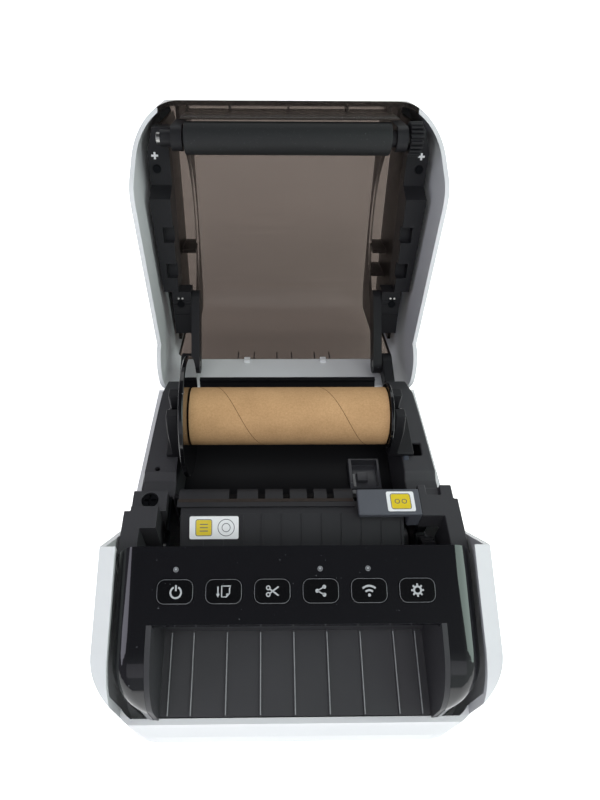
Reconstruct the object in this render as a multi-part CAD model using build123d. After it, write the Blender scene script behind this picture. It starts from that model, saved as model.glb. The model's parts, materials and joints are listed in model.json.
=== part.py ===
from build123d import *
import os
from math import acos, asin, atan2, cos, degrees, pi, radians, sin, sqrt, tan

# Desktop label printer with its lid open, in millimetres.
# X runs to the right, Y to the back and Z up, and the origin is at the centre of the footprint.

# Overall sizes of the case
width = 170.0
rear_half = 77.5
front = -110.0
rear = 110.0
wall = 2.5
foot_height = 3.0
low_top = 43.8
corner_front = 22.0
corner_rear = 14.0
side_opening_z = 41.0
side_opening_rear = 75.5
floor_z = foot_height + wall
kink_radius = 18.0

# Slanted control panel
panel_half = 77.8
panel_rear_y = -47.0
panel_rear_z = 88.0
panel_tilt = 20.0
panel_bend_y = -87.0
panel_bend_radius = 28.0
panel_foot_z = 34.5
recess_half = 63.0
recess_top_y = -77.0
panel_corner = 18.0
panel_edge = 9.0

# Lid, drawn closed and then swung open about the hinge
hinge_y = 93.2
hinge_z = 49.4
open_angle = 108.0
barrel_radius = 16.8
lid_front = -51.5
lid_lean = 4.5
lid_top = 151.5
lid_rim = 44.6
kink_y = -14.0
cheek_front_y = -46.4
lid_front_z = 89.2
lid_shoulder_z = 121.0
window_half = 73.0
window_bottom = 80.0
window_wall = 2.0
window_wall_rear = 96.0
roll_clearance = 60.0
lid_corner = 24.0
rail_inner = 63.0
rail_face = 66.8
rail_front = -39.5
rail_rear = 52.0
rail_plan = (
    (0, rail_front), (75.2, rail_front), (79.2, -27.0), (78.6, -1.0), (76.0, rail_rear), (0, rail_rear),
)
rail_bottom = 66.5
rail_step = 77.6
rail_top = 88.0
bush_radius = 4.6
lug_radius = 6.5
cross_bars = ((-1, 46.0), (-1, 86.0), (1, 46.0), (1, 63.0), (1, 88.0))
cross_bar_thick = 2.5
knob_x = 26.0

# Supply roll, with the start along X, the thickness and the radius of each disc
roll_y = 28.0
roll_z = 81.5
core_ends = (-51.4, 49.0)
core_outer = 15.0
core_inner = 12.7
spool_shaft_radius = 4.0
spool_ends = (-63.4, 57.8)
left_disc = (51.8, 2.4, 31.5)
right_disc = (49.4, 1.6, 17.0)
bay_half = 60.0
bay_radius = 52.0

# Platen roller and its gears
platen_y = -35.9
platen_z = 67.2
platen_radius = 8.3
platen_core = 4.5
neck_radius = 4.2
platen_left = -56.0
platen_right = 54.0
platen_shaft_radius = 3.0
shaft_half = 71.2
gear_module = 0.8
platen_teeth = 20
idler_teeth = 32
pinion_teeth = 12
gear_left = 64.0
gear_right = 70.5

# Keys on the panel
key_pitch = 20.6
key_count = 6
key_length = 15.4
key_depth = 10.0
key_y = -64.6
key_gap = 0.3
lamp_y = -56.1
lamp_radius = 1.1
lamp_columns = (0, 3, 4)
key_names = ("power_key", "feed_key", "cut_key", "link_key", "wireless_key", "setup_key")

# Bay, its flanks and the hinge
bay_front = -6.0
bay_rear = 73.0
bay_front_top = 60.0
bay_rear_top = 57.0
bay_notch_z = 50.0
flank_inset = 7.3
left_cradle_x = (57.0, 62.8)
right_cradle_x = (52.0, 57.2)
arm_inner = 54.5
arm_outer = 59.5
ear_inner = 59.8
ear_outer = 66.0
ear_radius = 6.5
hinge_pin_radius = 2.5

# Feet, screws and sockets
foot_x = 60.0
foot_y = 88.0
foot_radius = 7.0
screw_columns = (-66.0, 66.0)
screw_rows = (10.0, 62.0)
sockets = {
    "power_inlet": (-56.0, -42.0, 9.0, 21.5),
    "usb_port": (-18.0, -6.0, 9.0, 20.0),
    "network_port": (8.0, 24.0, 9.0, 21.5),
}
board_top = 9.0

# Media path, print head, cutter and drive
guide_half = 55.0
plate_inner = 60.5
plate_outer = 62.0
tray_floor_front = 34.5
tray_floor_rear = 42.0
tray_rear_y = -69.0
tray_rib_pitch = 15.6
guide_rib_pitch = 9.8
comb_teeth = ((-56.5, -31.5), (-27.5, -17.0), (-13.5, -4.5), (-1.0, 7.5), (11.0, 17.5), (21.0, 30.5))
tray_front_y = -104.0
tray_rear_top = 71.5
sensor_box = (35.0, 53.0, 11.0, 31.0, 27.5, 35.0)
rack_teeth = 5
cutter_teeth = 10
cutter_y = -61.4
cutter_z = 67.5
pinion_angle = -30.0

# Outlines in (Y, Z) and boxes as X, Y and Z limits of the inner parts
flank_line = ((2, 59), (6, 62), (44, 62), (60, 61))
flank_pocket = (64, 71, 16, 24, 55, 70)
flank_hole = (70, 8, 1.4)
cradle_line = ((15, 62), (15, 84), (19, 93), (37, 93), (41, 84), (41, 62))
guide_line = ((-13.6, 65.8), (-20.0, 65.8), (-33.8, 57.4), (-33.8, 55.0), (-20.5, 63.2), (-13.6, 63.2))
guide_rib_line = ((-20.6, 64.4), (-33.6, 56.5), (-33.6, 58.1), (-20.6, 66.0))
comb_strip = (-57.0, 31.0, -16.9, -12.9, 65.8, 67.0)
comb_tooth_line = ((-13.0, 67.0), (-9.6, 67.0), (-6.2, 65.4), (-6.2, 63.6), (-13.0, 63.6))
head_box = (-54, 54, -46.0, -34.8, 57.2, 58.4)
sink_box = (-53, 53, -46, -36, 50, 57.2)
sink_fins = (-44.4, -42.2, -40.0, -37.8)
sink_groove = 1.1
spring_columns = (-36, 0, 36)
spring_radius = 3.0
carrier_box = (-60.5, 60.5, -46, -35, 38, 40)
plate_line = ((-66.8, 71), (-60, 74), (-48, 76), (-48, 57), (-27, 57), (-27, 62), (-8.5, 62))
left_block_boxes = (
    (-79.0, -62.0, -19.5, -8.5, 50, 68), (-78.0, -64.9, -31, -19.5, 50, 73),
    (-81.0, -78.0, -44, -22, 67, 73), (-78.0, -72.5, -46, -31, 50, 73),
)
right_block_boxes = (
    (62.0, 79.0, -25.3, -8.5, 60.5, 73), (72.8, 81.0, -44, -16, 67, 73), (72.8, 78.0, -46, -25.3, 50, 73),
)
right_block_notch = (66, 73, -14, -5, 70, 80)
block_screw_place = (-70.5, -13.5)
block_screw_z = 66.0
block_screw_radius = 3.8
gear_cover_boxes = ((31.5, 62.0, -25.3, -11.3, 71.0, 74.0), (56.0, 62.0, -25.3, -19, 62.0, 71.0))
drive_motor_radius = 10.3
drive_motor_left = 30.0
fixed_blade_box = (-60.5, 60.5, -53.0, -48.6, 56.2, 58.2)
moving_blade_box = (-60.2, 60.2, -55.2, -53.3, 61.5, 73.5)
rack_sides = (41, 46)
cutter_motor_ends = (10, 38)
cutter_motor_radius = 5.3
cutter_motor_foot = (12, 36, -66.8, -61.4, 64, 71)
guard_box = (-58, 58, -46.2, -45.2, 66, 100)
guard_ribs = (-57, -33, 0, 33, 57)
latch_root = (60.0, 73.0)
latch_radius = 6.0
latch_box = (59.5, 71, 52, 80.5, 66.5, 78)

# Screws, tray, boards and small clearances
tall = 200.0
turn_gap = 0.05
screw_radius = 1.9
screw_head = 3.4
screw_end_z = 14.0
tray_wall = 2.2
tray_rib_width = 1.0
tray_rib_rise = 0.9
exit_half = 56.0
exit_z = (56.0, 66.0)
key_corner = 3.2
key_stand = 0.35
key_flange = 0.9
panel_posts = (-61, 0, 61)
panel_post_radius = 1.8
key_board_size = (134, 23)
key_board_thick = 1.2
switch_side = 6.0
board_box = (-58, 58, 14, 106)
board_thick = 1.6
board_posts = ((-54, 54), (18, 102))
board_post_radius = 2.5
inlet_depth = 12.0
inlet_radius = 4.8
boss_radius = 7.5
hub_start = 36.0

os.makedirs("parts", exist_ok=True)


def save(name, shape):
    """Write one named sub-part."""
    export_step(shape, f"parts/{name}.step")


def block(x0, x1, y0, y1, z0, z1):
    """Box between two corners."""
    middle = ((x0 + x1) / 2, (y0 + y1) / 2, (z0 + z1) / 2)
    return Pos(*middle) * Box(abs(x1 - x0), abs(y1 - y0), abs(z1 - z0))


def blocks(boxes):
    """Boxes joined into one piece."""
    piece = block(*boxes[0])
    for box in boxes[1:]:
        piece += block(*box)
    return piece


def rod(x0, x1, y, z, radius):
    """Round bar that lies along X."""
    bar = Rot(0, 90, 0) * Cylinder(radius, abs(x1 - x0))
    return Pos((x0 + x1) / 2, y, z) * bar


def post(x, y, z0, z1, radius):
    """Round bar that stands along Z."""
    return Pos(x, y, (z0 + z1) / 2) * Cylinder(radius, z1 - z0)


def barrel_y(x, z, y0, y1, radius):
    """Round bar that lies along Y."""
    return Pos(x, (y0 + y1) / 2, z) * Rot(90, 0, 0) * Cylinder(radius, abs(y1 - y0))


def side_face(curve):
    """Closed outline given in (Y, Z), as a face in the side plane."""
    return Plane.YZ * make_face(curve)


def side_prism(curve, x0, x1):
    """Side outline given in (Y, Z), pushed from x0 to x1."""
    return Pos(x0, 0, 0) * extrude(side_face(curve), x1 - x0)


def outline(*points):
    """Closed outline through straight points."""
    return Polyline(*points, close=True)


def half_at(y, inset):
    """Half width of the case at a depth y, less an inset. It narrows behind the kink."""
    share = max(0, (y - kink_y) / (rear - kink_y))
    return width / 2 - share * (width / 2 - rear_half) - inset


def plan_prism(inset, y0, y1, front_radius, rear_radius):
    """Tall prism with rounded corners in the plan, that cuts a shell to its footprint."""
    half = half_at(y0, inset)
    corners = [
        FilletPolyline((0, y0), (half, y0), (half, kink_y), radius=front_radius),
        FilletPolyline((half, kink_y), (half_at(y1, inset), y1), (0, y1), radius=rear_radius),
    ]
    left = [mirror(c, Plane.YZ) for c in corners]
    face = make_face(Curve() + corners + left)
    return extrude(face, tall)


def tapered(inset, y0, y1, z0, z1):
    """Block that narrows to the rear with the case."""
    right = [(half_at(y, inset), y) for y in (y0, max(y0 + 0.1, kink_y), y1)]
    left = [(-x, y) for x, y in reversed(right)]
    return Pos(0, 0, z0) * extrude(make_face(outline(*right, *left)), z1 - z0)


def mirrored(shape):
    """The same piece on the other side."""
    return mirror(shape, Plane.YZ)


def opened(shape):
    """Swing a lid piece from closed to the open rest position."""
    return shape.rotate(Axis((0, hinge_y, hinge_z), (1, 0, 0)), -open_angle)


def on_circle(y, z, radius, angle):
    """Point on a circle in the side plane, by its angle in degrees from the rear."""
    return (y + radius * cos(radians(angle)), z + radius * sin(radians(angle)))


def panel_z(y):
    """Height of the panel's slanted top at a depth y."""
    return panel_rear_z + (y - panel_rear_y) * tan(radians(panel_tilt))


# Lower case


def trough_points(radius, height):
    """Trough under the hinge, from a height on its front side round to the shelf behind it."""
    first = 180 + degrees(asin((hinge_z - height) / radius))
    last = 360 - open_angle
    return [on_circle(hinge_y, hinge_z, radius, a) for a in (first, (first + last) / 2, last)]


def bend_points():
    """Round front of the slanted top: start, middle and end of its arc."""
    tilt = radians(panel_tilt)
    centre_y = panel_bend_y + panel_bend_radius * sin(tilt)
    centre_z = panel_z(panel_bend_y) - panel_bend_radius * cos(tilt)
    angles = (90 + panel_tilt, 135 + panel_tilt / 2, 180)
    return [on_circle(centre_y, centre_z, panel_bend_radius, a) for a in angles]


def case_profile():
    """Side outline of the white lower case, with its rear trough for the lid's hinge barrel."""
    start, middle, turn = trough_points(barrel_radius + 1.1, low_top)
    shelf_drop = (rear - turn[0]) * tan(radians(open_angle - 90))
    top, bend, nose = bend_points()
    seam = FilletPolyline(
        start, (kink_y - 1, low_top), (panel_rear_y, panel_rear_z), radius=kink_radius)
    lower = [
        nose, (front + 2.5, 30), (front, 22), (front, foot_height + 3), (front + 2, foot_height),
        (rear, foot_height), (rear, turn[1] - shelf_drop), turn,
    ]
    lines = [seam, Line((panel_rear_y, panel_rear_z), top), ThreePointArc(top, bend, nose)]
    lines += [Polyline(*lower), ThreePointArc(start, middle, turn)]
    return Curve() + lines


def shell(profile, y0, y1, front_radius, rear_radius):
    """Hollow shell: a side outline and a rounded plan, less the same shape one wall inside it."""
    half = width / 2
    face = make_face(profile)
    outer = Pos(-half, 0, 0) * extrude(Plane.YZ * face, 2 * half)
    inner = Pos(-half, 0, 0) * extrude(Plane.YZ * offset(face, -wall), 2 * half)
    outer &= plan_prism(0, y0, y1, front_radius, rear_radius)
    inner &= plan_prism(wall, y0 + wall, y1 - wall, front_radius - wall, rear_radius - wall)
    return outer - inner


def lower_case():
    """White tub with its side skirts, open where the panel, the bay and the sockets are."""
    case = shell(case_profile(), front, rear, corner_front, corner_rear)
    case -= block(-panel_half - 0.4, panel_half + 0.4, front - 1, kink_y, panel_foot_z, tall)
    case -= tapered(wall, panel_rear_y + 0.4, side_opening_rear, side_opening_z, tall)
    for x0, x1, z0, z1 in sockets.values():
        case -= block(x0, x1, rear - 2 * wall, rear + 1, z0, z1)
    for x in screw_columns:
        for y in screw_rows:
            case -= post(x, y, 0, 8, screw_radius + 0.1)
    return case


def feet():
    """Four round rubber feet, which the printer rests on."""
    pads = []
    for x in (-foot_x, foot_x):
        for y in (-foot_y, foot_y):
            pads.append(post(x, y, 0, foot_height, foot_radius))
    return Compound(children=pads)


def frame_screws():
    """Screws up through the floor of the case, and the cross-head screw in the left block."""
    screws = [block_screw()]
    for x in screw_columns:
        for y in screw_rows:
            shaft = post(x, y, foot_height - 0.8, screw_end_z, screw_radius)
            screws.append(shaft + post(x, y, foot_height - 1.6, foot_height - 0.1, screw_head))
    return Compound(children=screws)


# Roll bay


def bay_floor():
    """Curved trough under the roll, with its front wall and its notched rear wall."""
    def rim(radius, y):
        return roll_z - sqrt(radius**2 - (y - roll_y) ** 2)

    outer = bay_radius + wall
    back = bay_rear + wall
    ahead = bay_front - wall
    lines = [
        Polyline((bay_front, rim(bay_radius, bay_front)), (bay_front, bay_front_top),
                 (ahead, bay_front_top), (ahead, rim(outer, ahead))),
        ThreePointArc((ahead, rim(outer, ahead)), (roll_y, roll_z - outer), (back, rim(outer, back))),
        Polyline((back, rim(outer, back)), (back, bay_rear_top), (bay_rear, bay_rear_top),
                 (bay_rear, rim(bay_radius, bay_rear))),
        ThreePointArc((bay_front, rim(bay_radius, bay_front)), (roll_y, roll_z - bay_radius),
                      (bay_rear, rim(bay_radius, bay_rear))),
    ]
    floor = side_prism(Curve() + lines, -bay_half, bay_half)
    for side in (-1, 1):
        arm = side * (arm_inner + arm_outer) / 2
        floor -= block(arm - 4, arm + 4, bay_rear - 2, back + 2, bay_notch_z, tall)
    floor -= block(*sensor_box[:4], 20, 45)
    return floor


def flank(side):
    """Hollow black side of the roll bay, standing on the floor of the case."""
    back = bay_rear + wall
    lead = flank_line[0][1]
    top = [(bay_front - wall, lead), *flank_line, (back, 53), (back, 45.6), (72.5, 42)]
    outer = outline((bay_front - wall, floor_z), *top, (72.5, floor_z))
    inner_top = [(bay_front, lead - wall)] + [(y, z - wall) for y, z in flank_line] + [(70, 50)]
    inner = outline((bay_front, floor_z - 1), *inner_top, (70, floor_z - 1))
    limits = (bay_front - 10, back + 10, 0, tall)
    piece = side_prism(outer, bay_half, width / 2) & tapered(flank_inset, *limits)
    piece -= side_prism(inner, bay_half + wall, width / 2) & tapered(flank_inset + wall, *limits)
    if side > 0:
        piece -= block(*flank_pocket)
    else:
        x, y, radius = flank_hole
        piece -= post(x, y, 50, 70, radius)
    return piece if side > 0 else mirrored(piece)


def cradle(side):
    """Plate beside the roll with an open slot that the end of the spool drops into."""
    inner, outer = right_cradle_x if side > 0 else left_cradle_x
    plate = side_prism(outline(*cradle_line), inner, outer)
    (y0, foot_z), (y1, _) = cradle_line[0], cradle_line[-1]
    foot = block(inner, bay_half + 6, y0, y1, foot_z, foot_z + 3)
    reach = spool_shaft_radius + turn_gap
    slot = rod(inner - 1, outer + 1, roll_y, roll_z, reach)
    slot += block(inner - 1, outer + 1, roll_y - reach, roll_y + reach, roll_z, tall)
    piece = plate + foot - slot
    return piece if side > 0 else mirrored(piece)


def hinge_ears():
    """Two lugs behind the bay that hold the hinge pins."""
    ears = []
    for side in (-1, 1):
        x0, x1 = side * ear_inner, side * ear_outer
        lug = rod(x0, x1, hinge_y, hinge_z, ear_radius)
        neck = side_prism(
            outline((75.5, 45.8), (75.5, 53), (hinge_y, hinge_z + ear_radius - 0.4),
                    (hinge_y, hinge_z - ear_radius + 0.4)),
            min(x0, x1), max(x0, x1),
        )
        ears.append(lug + neck - rod(x0 - 9, x1 + 9, hinge_y, hinge_z, hinge_pin_radius))
    return Compound(children=ears)


def hinge_pins():
    """Two steel pins that the lid swings on."""
    reach = (arm_inner + 0.2, ear_outer)
    return Compound(children=[
        rod(-reach[1], -reach[0], hinge_y, hinge_z, hinge_pin_radius),
        rod(reach[0], reach[1], hinge_y, hinge_z, hinge_pin_radius),
    ])


# Control panel and output tray


def panel_plane(x, y):
    """Plane on the slanted top of the panel, with its Z pointing out of it."""
    tilt = radians(panel_tilt)
    return Plane(origin=(x, y, panel_z(y)), x_dir=(1, 0, 0), z_dir=(0, -sin(tilt), cos(tilt)))


def panel_profile():
    """Side outline of the panel down to its foot."""
    top, bend, nose = bend_points()
    lower = [nose, (nose[0], panel_foot_z), (panel_rear_y, panel_foot_z), (panel_rear_y, panel_rear_z), top]
    return Curve() + [Polyline(*lower), ThreePointArc(top, bend, nose)]


def key_columns():
    """The X of each key, from left to right."""
    return [(i - (key_count - 1) / 2) * key_pitch for i in range(key_count)]


def key_solid(x, margin, below, above):
    """Rounded key outline pushed through the panel, with a margin all round."""
    face = RectangleRounded(key_length + 2 * margin, key_depth + 2 * margin, key_corner + margin)
    plane = panel_plane(x, key_y)
    return plane * Pos(0, 0, -below) * extrude(face, below + above)


def lamp(x, radius, below, above):
    """Round lamp hole or lens through the panel."""
    return panel_plane(x, lamp_y) * Pos(0, 0, (above - below) / 2) * Cylinder(radius, below + above)


def rounded_sides(solid, radius):
    """Round the long edges between the panel's top and its sides."""
    long_edges = [
        e for e in solid.edges()
        if e.center().Z > 45 and abs(e.center().X) > 60 and e.center().Y < panel_rear_y - 1
        and abs(e.bounding_box().size.X) < 20
    ]
    return fillet(long_edges, radius)


def front_panel():
    """Gloss panel with rounded side edges, an open front recess, key holes and lamp holes."""
    nose = bend_points()[2]
    inside = panel_half - wall
    face = make_face(panel_profile())
    outer = Pos(-panel_half, 0, 0) * extrude(Plane.YZ * face, 2 * panel_half)
    outer &= plan_prism(width / 2 - panel_half, nose[0], 60, panel_corner, 5.0)
    outer = rounded_sides(outer, panel_edge)
    inner = Pos(-inside, 0, 0) * extrude(Plane.YZ * offset(face, -wall), 2 * inside)
    inner &= plan_prism(width / 2 - inside, nose[0] + wall, 60, panel_corner - wall, 5.0)
    inner = rounded_sides(inner, panel_edge - wall)
    panel = outer - inner
    panel -= block(-inside, inside, nose[0] + wall, panel_rear_y - wall, panel_foot_z - 1, panel_foot_z + 4)
    panel -= block(-inside, inside, panel_rear_y - wall - 1, panel_rear_y + 1, panel_foot_z - 1, 81)
    panel -= block(-recess_half, recess_half, nose[0] - 1, recess_top_y, panel_foot_z - 1, tall)
    for x in key_columns():
        panel -= key_solid(x, key_gap, 4, 3)
    for column in lamp_columns:
        panel -= lamp(key_columns()[column], lamp_radius, 4, 2)
    for x in panel_posts:
        panel += panel_plane(x, key_y + 8.5) * Pos(0, 0, -wall - 1.2) * Cylinder(panel_post_radius, 2.4)
    return panel


def key(x):
    """One key cap, with the flange that keeps it behind the panel."""
    cap = key_solid(x, 0, wall + 0.2, key_stand)
    return cap + key_solid(x, key_flange, wall + 1.1, -wall - 0.2)


def lamp_lenses():
    """Three small lenses, flush in the panel."""
    return Compound(children=[lamp(key_columns()[i], lamp_radius, wall, 0.1) for i in lamp_columns])


def key_board():
    """Circuit board under the keys, hung from the panel."""
    face = Rectangle(*key_board_size)
    return panel_plane(0, key_y + 1.5) * Pos(0, 0, -wall - 3.6) * extrude(face, key_board_thick)


def key_switches():
    """Push switches on the board, one under each key."""
    switches = []
    for x in key_columns():
        plane = panel_plane(x, key_y)
        body = plane * Pos(0, 0, -wall - 2.4) * extrude(Rectangle(switch_side, switch_side), 0.45)
        switches.append(body)
    return Compound(children=switches)


def output_tray():
    """Tray with its ribs, side walls and slotted rear wall under the panel."""
    nose = bend_points()[2]
    side = recess_half - turn_gap
    floor = outline(
        (tray_front_y, tray_floor_front), (tray_rear_y, tray_floor_rear),
        (tray_rear_y, tray_floor_rear - tray_wall), (tray_front_y, tray_floor_front - tray_wall),
    )
    tray = side_prism(floor, -side, side)
    back = tray_rear_y + tray_wall
    tray += block(-side, side, tray_rear_y, back, tray_floor_rear - tray_wall, tray_rear_top)
    tray -= block(-exit_half, exit_half, tray_rear_y - 1, back + 1, *exit_z)
    wings = make_face(panel_profile())
    for x0 in (-side, side - tray_wall):
        wing = Pos(x0, 0, 0) * extrude(Plane.YZ * offset(wings, -turn_gap), tray_wall)
        wing &= plan_prism(width / 2 - panel_half, nose[0] + 0.2, 60, panel_corner, 5.0)
        wing &= block(-side, side, nose[0] + 0.2, recess_top_y, panel_foot_z, tall)
        wing += block(x0, x0 + tray_wall, recess_top_y, tray_rear_y, tray_floor_rear - 4, tray_rear_top)
        tray += wing
    for x in tray_ribs():
        rib = outline(
            (tray_front_y, tray_floor_front + tray_rib_rise), (tray_rear_y, tray_floor_rear + tray_rib_rise),
            (tray_rear_y, tray_floor_rear - 0.5), (tray_front_y, tray_floor_front - 0.5),
        )
        tray += side_prism(rib, x - tray_rib_width / 2, x + tray_rib_width / 2)
    return tray


def tray_ribs():
    """The X of each long rib on the tray."""
    middle = [i * tray_rib_pitch for i in range(-3, 4)]
    return [-57.0] + middle + [57.0]


# Media path


def media_guide():
    """Ribbed guide that leads the labels down to the print head."""
    guide = side_prism(outline(*guide_line), -guide_half, guide_half)
    for i in range(-5, 6):
        x = (i + 0.5) * guide_rib_pitch
        if abs(x) < guide_half:
            guide += side_prism(outline(*guide_rib_line), x - 0.4, x + 0.4)
    return guide


def comb_plate():
    """Castellated plate between the roll bay and the guide."""
    strip = block(*comb_strip)
    for x0, x1 in comb_teeth:
        strip += side_prism(outline(*comb_tooth_line), x0, x1)
    return strip


def print_head():
    """Flat ceramic print head under the platen roller."""
    return block(*head_box)


def heat_sink():
    """Finned aluminium bar under the print head."""
    sink = block(*sink_box)
    for y in sink_fins:
        sink -= block(-exit_half, exit_half, y, y + sink_groove, 49, 54)
    return sink


def head_springs():
    """Three springs that press the print head up, as sleeves."""
    springs = []
    foot, head = carrier_box[-1], sink_box[-2]
    for x in spring_columns:
        sleeve = post(x, -41, foot, head, spring_radius)
        springs.append(sleeve - post(x, -41, foot - 1, head + 1, spring_radius - 0.8))
    return Compound(children=springs)


def head_carrier():
    """Steel bar between the side plates that the springs stand on."""
    return block(*carrier_box)


def side_plate(side):
    """Steel plate that carries the head, the cutter and the drive."""
    ends = [(plate_line[0][0], floor_z), *plate_line, (plate_line[-1][0], floor_z)]
    plate = side_prism(outline(*ends), plate_inner, plate_outer)
    if side > 0:
        plate -= rod(50, 80, *pinion_centre(), 2.0)
    return plate if side > 0 else mirrored(plate)


def left_block():
    """Left block behind the panel, which holds the frame's screw."""
    x, y = block_screw_place
    return blocks(left_block_boxes) - post(x, y, block_screw_z, tall, block_screw_radius + 0.4)


def block_screw():
    """Cross-head screw sunk in the left block."""
    x, y = block_screw_place
    head = post(x, y, block_screw_z, block_screw_z + 1.6, block_screw_radius)
    for long_x, long_y in ((3.0, 0.5), (0.5, 3.0)):
        head -= block(x - long_x, x + long_x, y - long_y, y + long_y, block_screw_z + 0.8, tall)
    return head


def right_block():
    """Right block behind the panel, stepped round the platen gear."""
    return blocks(right_block_boxes) - block(*right_block_notch)


def gear_cover():
    """Flat cover over the right end of the media path."""
    return blocks(gear_cover_boxes)


def media_sensor():
    """Clear-edged pocket with the label sensor in the floor of the bay."""
    x0, x1, y0, y1, z0, z1 = sensor_box
    frame = block(*sensor_box) - block(x0 + 2, x1 - 1.5, y0 + 1.5, y1 - 1, z0 + 1.5, z1 + 1)
    return frame + block(x0 + 5, x0 + 11, 18, 24, z0 + 1, z1 - 3)


# Gears


def involute(angle):
    return tan(angle) - angle


def gear(teeth, x0, x1, centre, bore, phase):
    """Spur gear that lies along X, with one tooth centred at the phase angle in degrees."""
    pitch_radius = gear_module * teeth / 2
    base = pitch_radius * cos(radians(20))
    tip = pitch_radius + 0.92 * gear_module
    root = pitch_radius - 1.2 * gear_module
    half = pi / (2 * teeth) - 0.035 * gear_module / pitch_radius + involute(radians(20))
    steps = 4
    start = max(base, root)
    radii = [start + (tip - start) * i / (steps - 1) for i in range(steps)]
    widths = [half - involute(acos(min(1, base / r))) for r in radii]
    points = []
    for t in range(teeth):
        middle = radians(phase) + 2 * pi * t / teeth
        side = [(root, widths[0])] + list(zip(radii, widths))
        for r, a in side:
            points.append((centre[0] + r * cos(middle - a), centre[1] + r * sin(middle - a)))
        for r, a in reversed(side):
            points.append((centre[0] + r * cos(middle + a), centre[1] + r * sin(middle + a)))
    return side_prism(outline(*points), x0, x1) - rod(x0 - 1, x1 + 1, *centre, bore)


def mesh_angle():
    """Angle from the closed platen gear to the idler: straight back along the lid's closing path."""
    return degrees(atan2(platen_z - hinge_z, platen_y - hinge_y)) + 90


def idler_centre():
    distance = gear_module * (platen_teeth + idler_teeth) / 2
    return on_circle(platen_y, platen_z, distance, mesh_angle())


def pinion_centre():
    distance = gear_module * (pinion_teeth + idler_teeth) / 2
    return on_circle(*idler_centre(), distance, pinion_angle)


def platen_phase():
    return mesh_angle() + 180 / platen_teeth


def idler_phase():
    return mesh_angle() + 180


def pinion_phase():
    """Phase that puts a gap of the pinion on the idler's nearest tooth."""
    lead = ((pinion_angle - idler_phase()) / (360 / idler_teeth)) % 1
    return pinion_angle + 180 + (lead + 0.5) * 360 / pinion_teeth


def idler_gear():
    """Idler that the platen gear drops on to when the lid closes."""
    return gear(idler_teeth, gear_left, gear_right, idler_centre(), 2.05, idler_phase())


def idler_shaft():
    return rod(plate_outer, gear_right + 1.2, *idler_centre(), 2.0)


def motor_pinion():
    """Pinion on the drive motor's shaft."""
    return gear(pinion_teeth, gear_left, gear_right, pinion_centre(), 1.5, pinion_phase()) + rod(
        plate_inner + 0.2, gear_right, *pinion_centre(), 1.5)


def drive_motor():
    """Stepping motor on the inside of the right side plate."""
    return rod(drive_motor_left, plate_inner, *pinion_centre(), drive_motor_radius)


# Cutter


def fixed_blade():
    return block(*fixed_blade_box)


def rack_points():
    """Rack outline with its teeth towards the front and a gap level with the pinion's centre."""
    pitch = pi * gear_module
    line = cutter_y + gear_module * cutter_teeth / 2
    crest = line - 0.92 * gear_module
    valley = line + 1.15 * gear_module
    slant = tan(radians(20)) * gear_module
    narrow = pitch / 4 - 0.05 - slant * 0.92
    broad = pitch / 4 - 0.05 + slant * 1.15
    back, low = moving_blade_box[2], moving_blade_box[4]
    points = [(back, low), (valley, low)]
    for i in range(rack_teeth):
        z = cutter_z + (i - 1.5) * pitch
        points += [(valley, z - broad), (crest, z - narrow), (crest, z + narrow), (valley, z + broad)]
    points += [(valley, cutter_z + 4.2 * pitch - 2.2), (back, cutter_z + 4.2 * pitch - 2.2)]
    return points


def moving_blade():
    """Blade that drops past the fixed one, with the rack that drives it."""
    return block(*moving_blade_box) + side_prism(outline(*rack_points()), *rack_sides)


def cutter_pinion():
    """Small pinion in mesh with the rack, on the cutter motor's shaft."""
    x0, x1 = rack_sides[0] - 0.5, rack_sides[1] + 0.5
    wheel = gear(cutter_teeth, x0, x1, (cutter_y, cutter_z), 1.0, 0)
    return wheel + rod(cutter_motor_ends[1] + 0.3, x1, cutter_y, cutter_z, 1.0)


def cutter_motor():
    """Motor of the cutter, with its foot against the tray's rear wall."""
    return rod(*cutter_motor_ends, cutter_y, cutter_z, cutter_motor_radius) + block(*cutter_motor_foot)


# Boards and sockets


def main_board():
    """Circuit board on four posts in the floor of the case."""
    board = block(*board_box, board_top - board_thick, board_top)
    columns, rows = board_posts
    for x in columns:
        for y in rows:
            board += post(x, y, floor_z, board_top - board_thick, board_post_radius)
    return board


def socket(name, depth, hollow):
    """Connector housing on the board, open to the rear."""
    x0, x1, z0, z1 = sockets[name]
    body = block(x0, x1, rear - depth, rear, z0, z1)
    return body - block(x0 + 1.5, x1 - 1.5, rear - hollow, rear + 1, z0 + 1.5, z1 - 1.5)


def power_inlet():
    x0, x1, z0, z1 = sockets["power_inlet"]
    x, z = (x0 + x1) / 2, (z0 + z1) / 2
    body = block(x0, x1, rear - inlet_depth - 4, rear, z0, z1)
    body -= barrel_y(x, z, rear - inlet_depth, rear + 1, inlet_radius)
    return body + barrel_y(x, z, rear - inlet_depth - 1, rear - 2, 1.2)


# Supply spool


def spool_shaft():
    return rod(*spool_ends, roll_y, roll_z, spool_shaft_radius)


def flange(side):
    """Thin disc at one end of the core, with its boss and the hub that the core turns on."""
    start, thick, radius = right_disc if side > 0 else left_disc
    cradle_start = right_cradle_x[0] if side > 0 else left_cradle_x[0]
    disc = rod(start, start + thick, roll_y, roll_z, radius)
    disc += rod(start + thick, cradle_start - 0.4, roll_y, roll_z, boss_radius)
    disc += rod(hub_start, start, roll_y, roll_z, core_inner - 0.3)
    disc -= rod(hub_start - 1, bay_half, roll_y, roll_z, spool_shaft_radius)
    return disc if side > 0 else mirrored(disc)


def roll_core():
    """Cardboard tube left on the spool."""
    return rod(*core_ends, roll_y, roll_z, core_outer) - rod(*core_ends, roll_y, roll_z, core_inner)


# Lid, drawn closed


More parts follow.
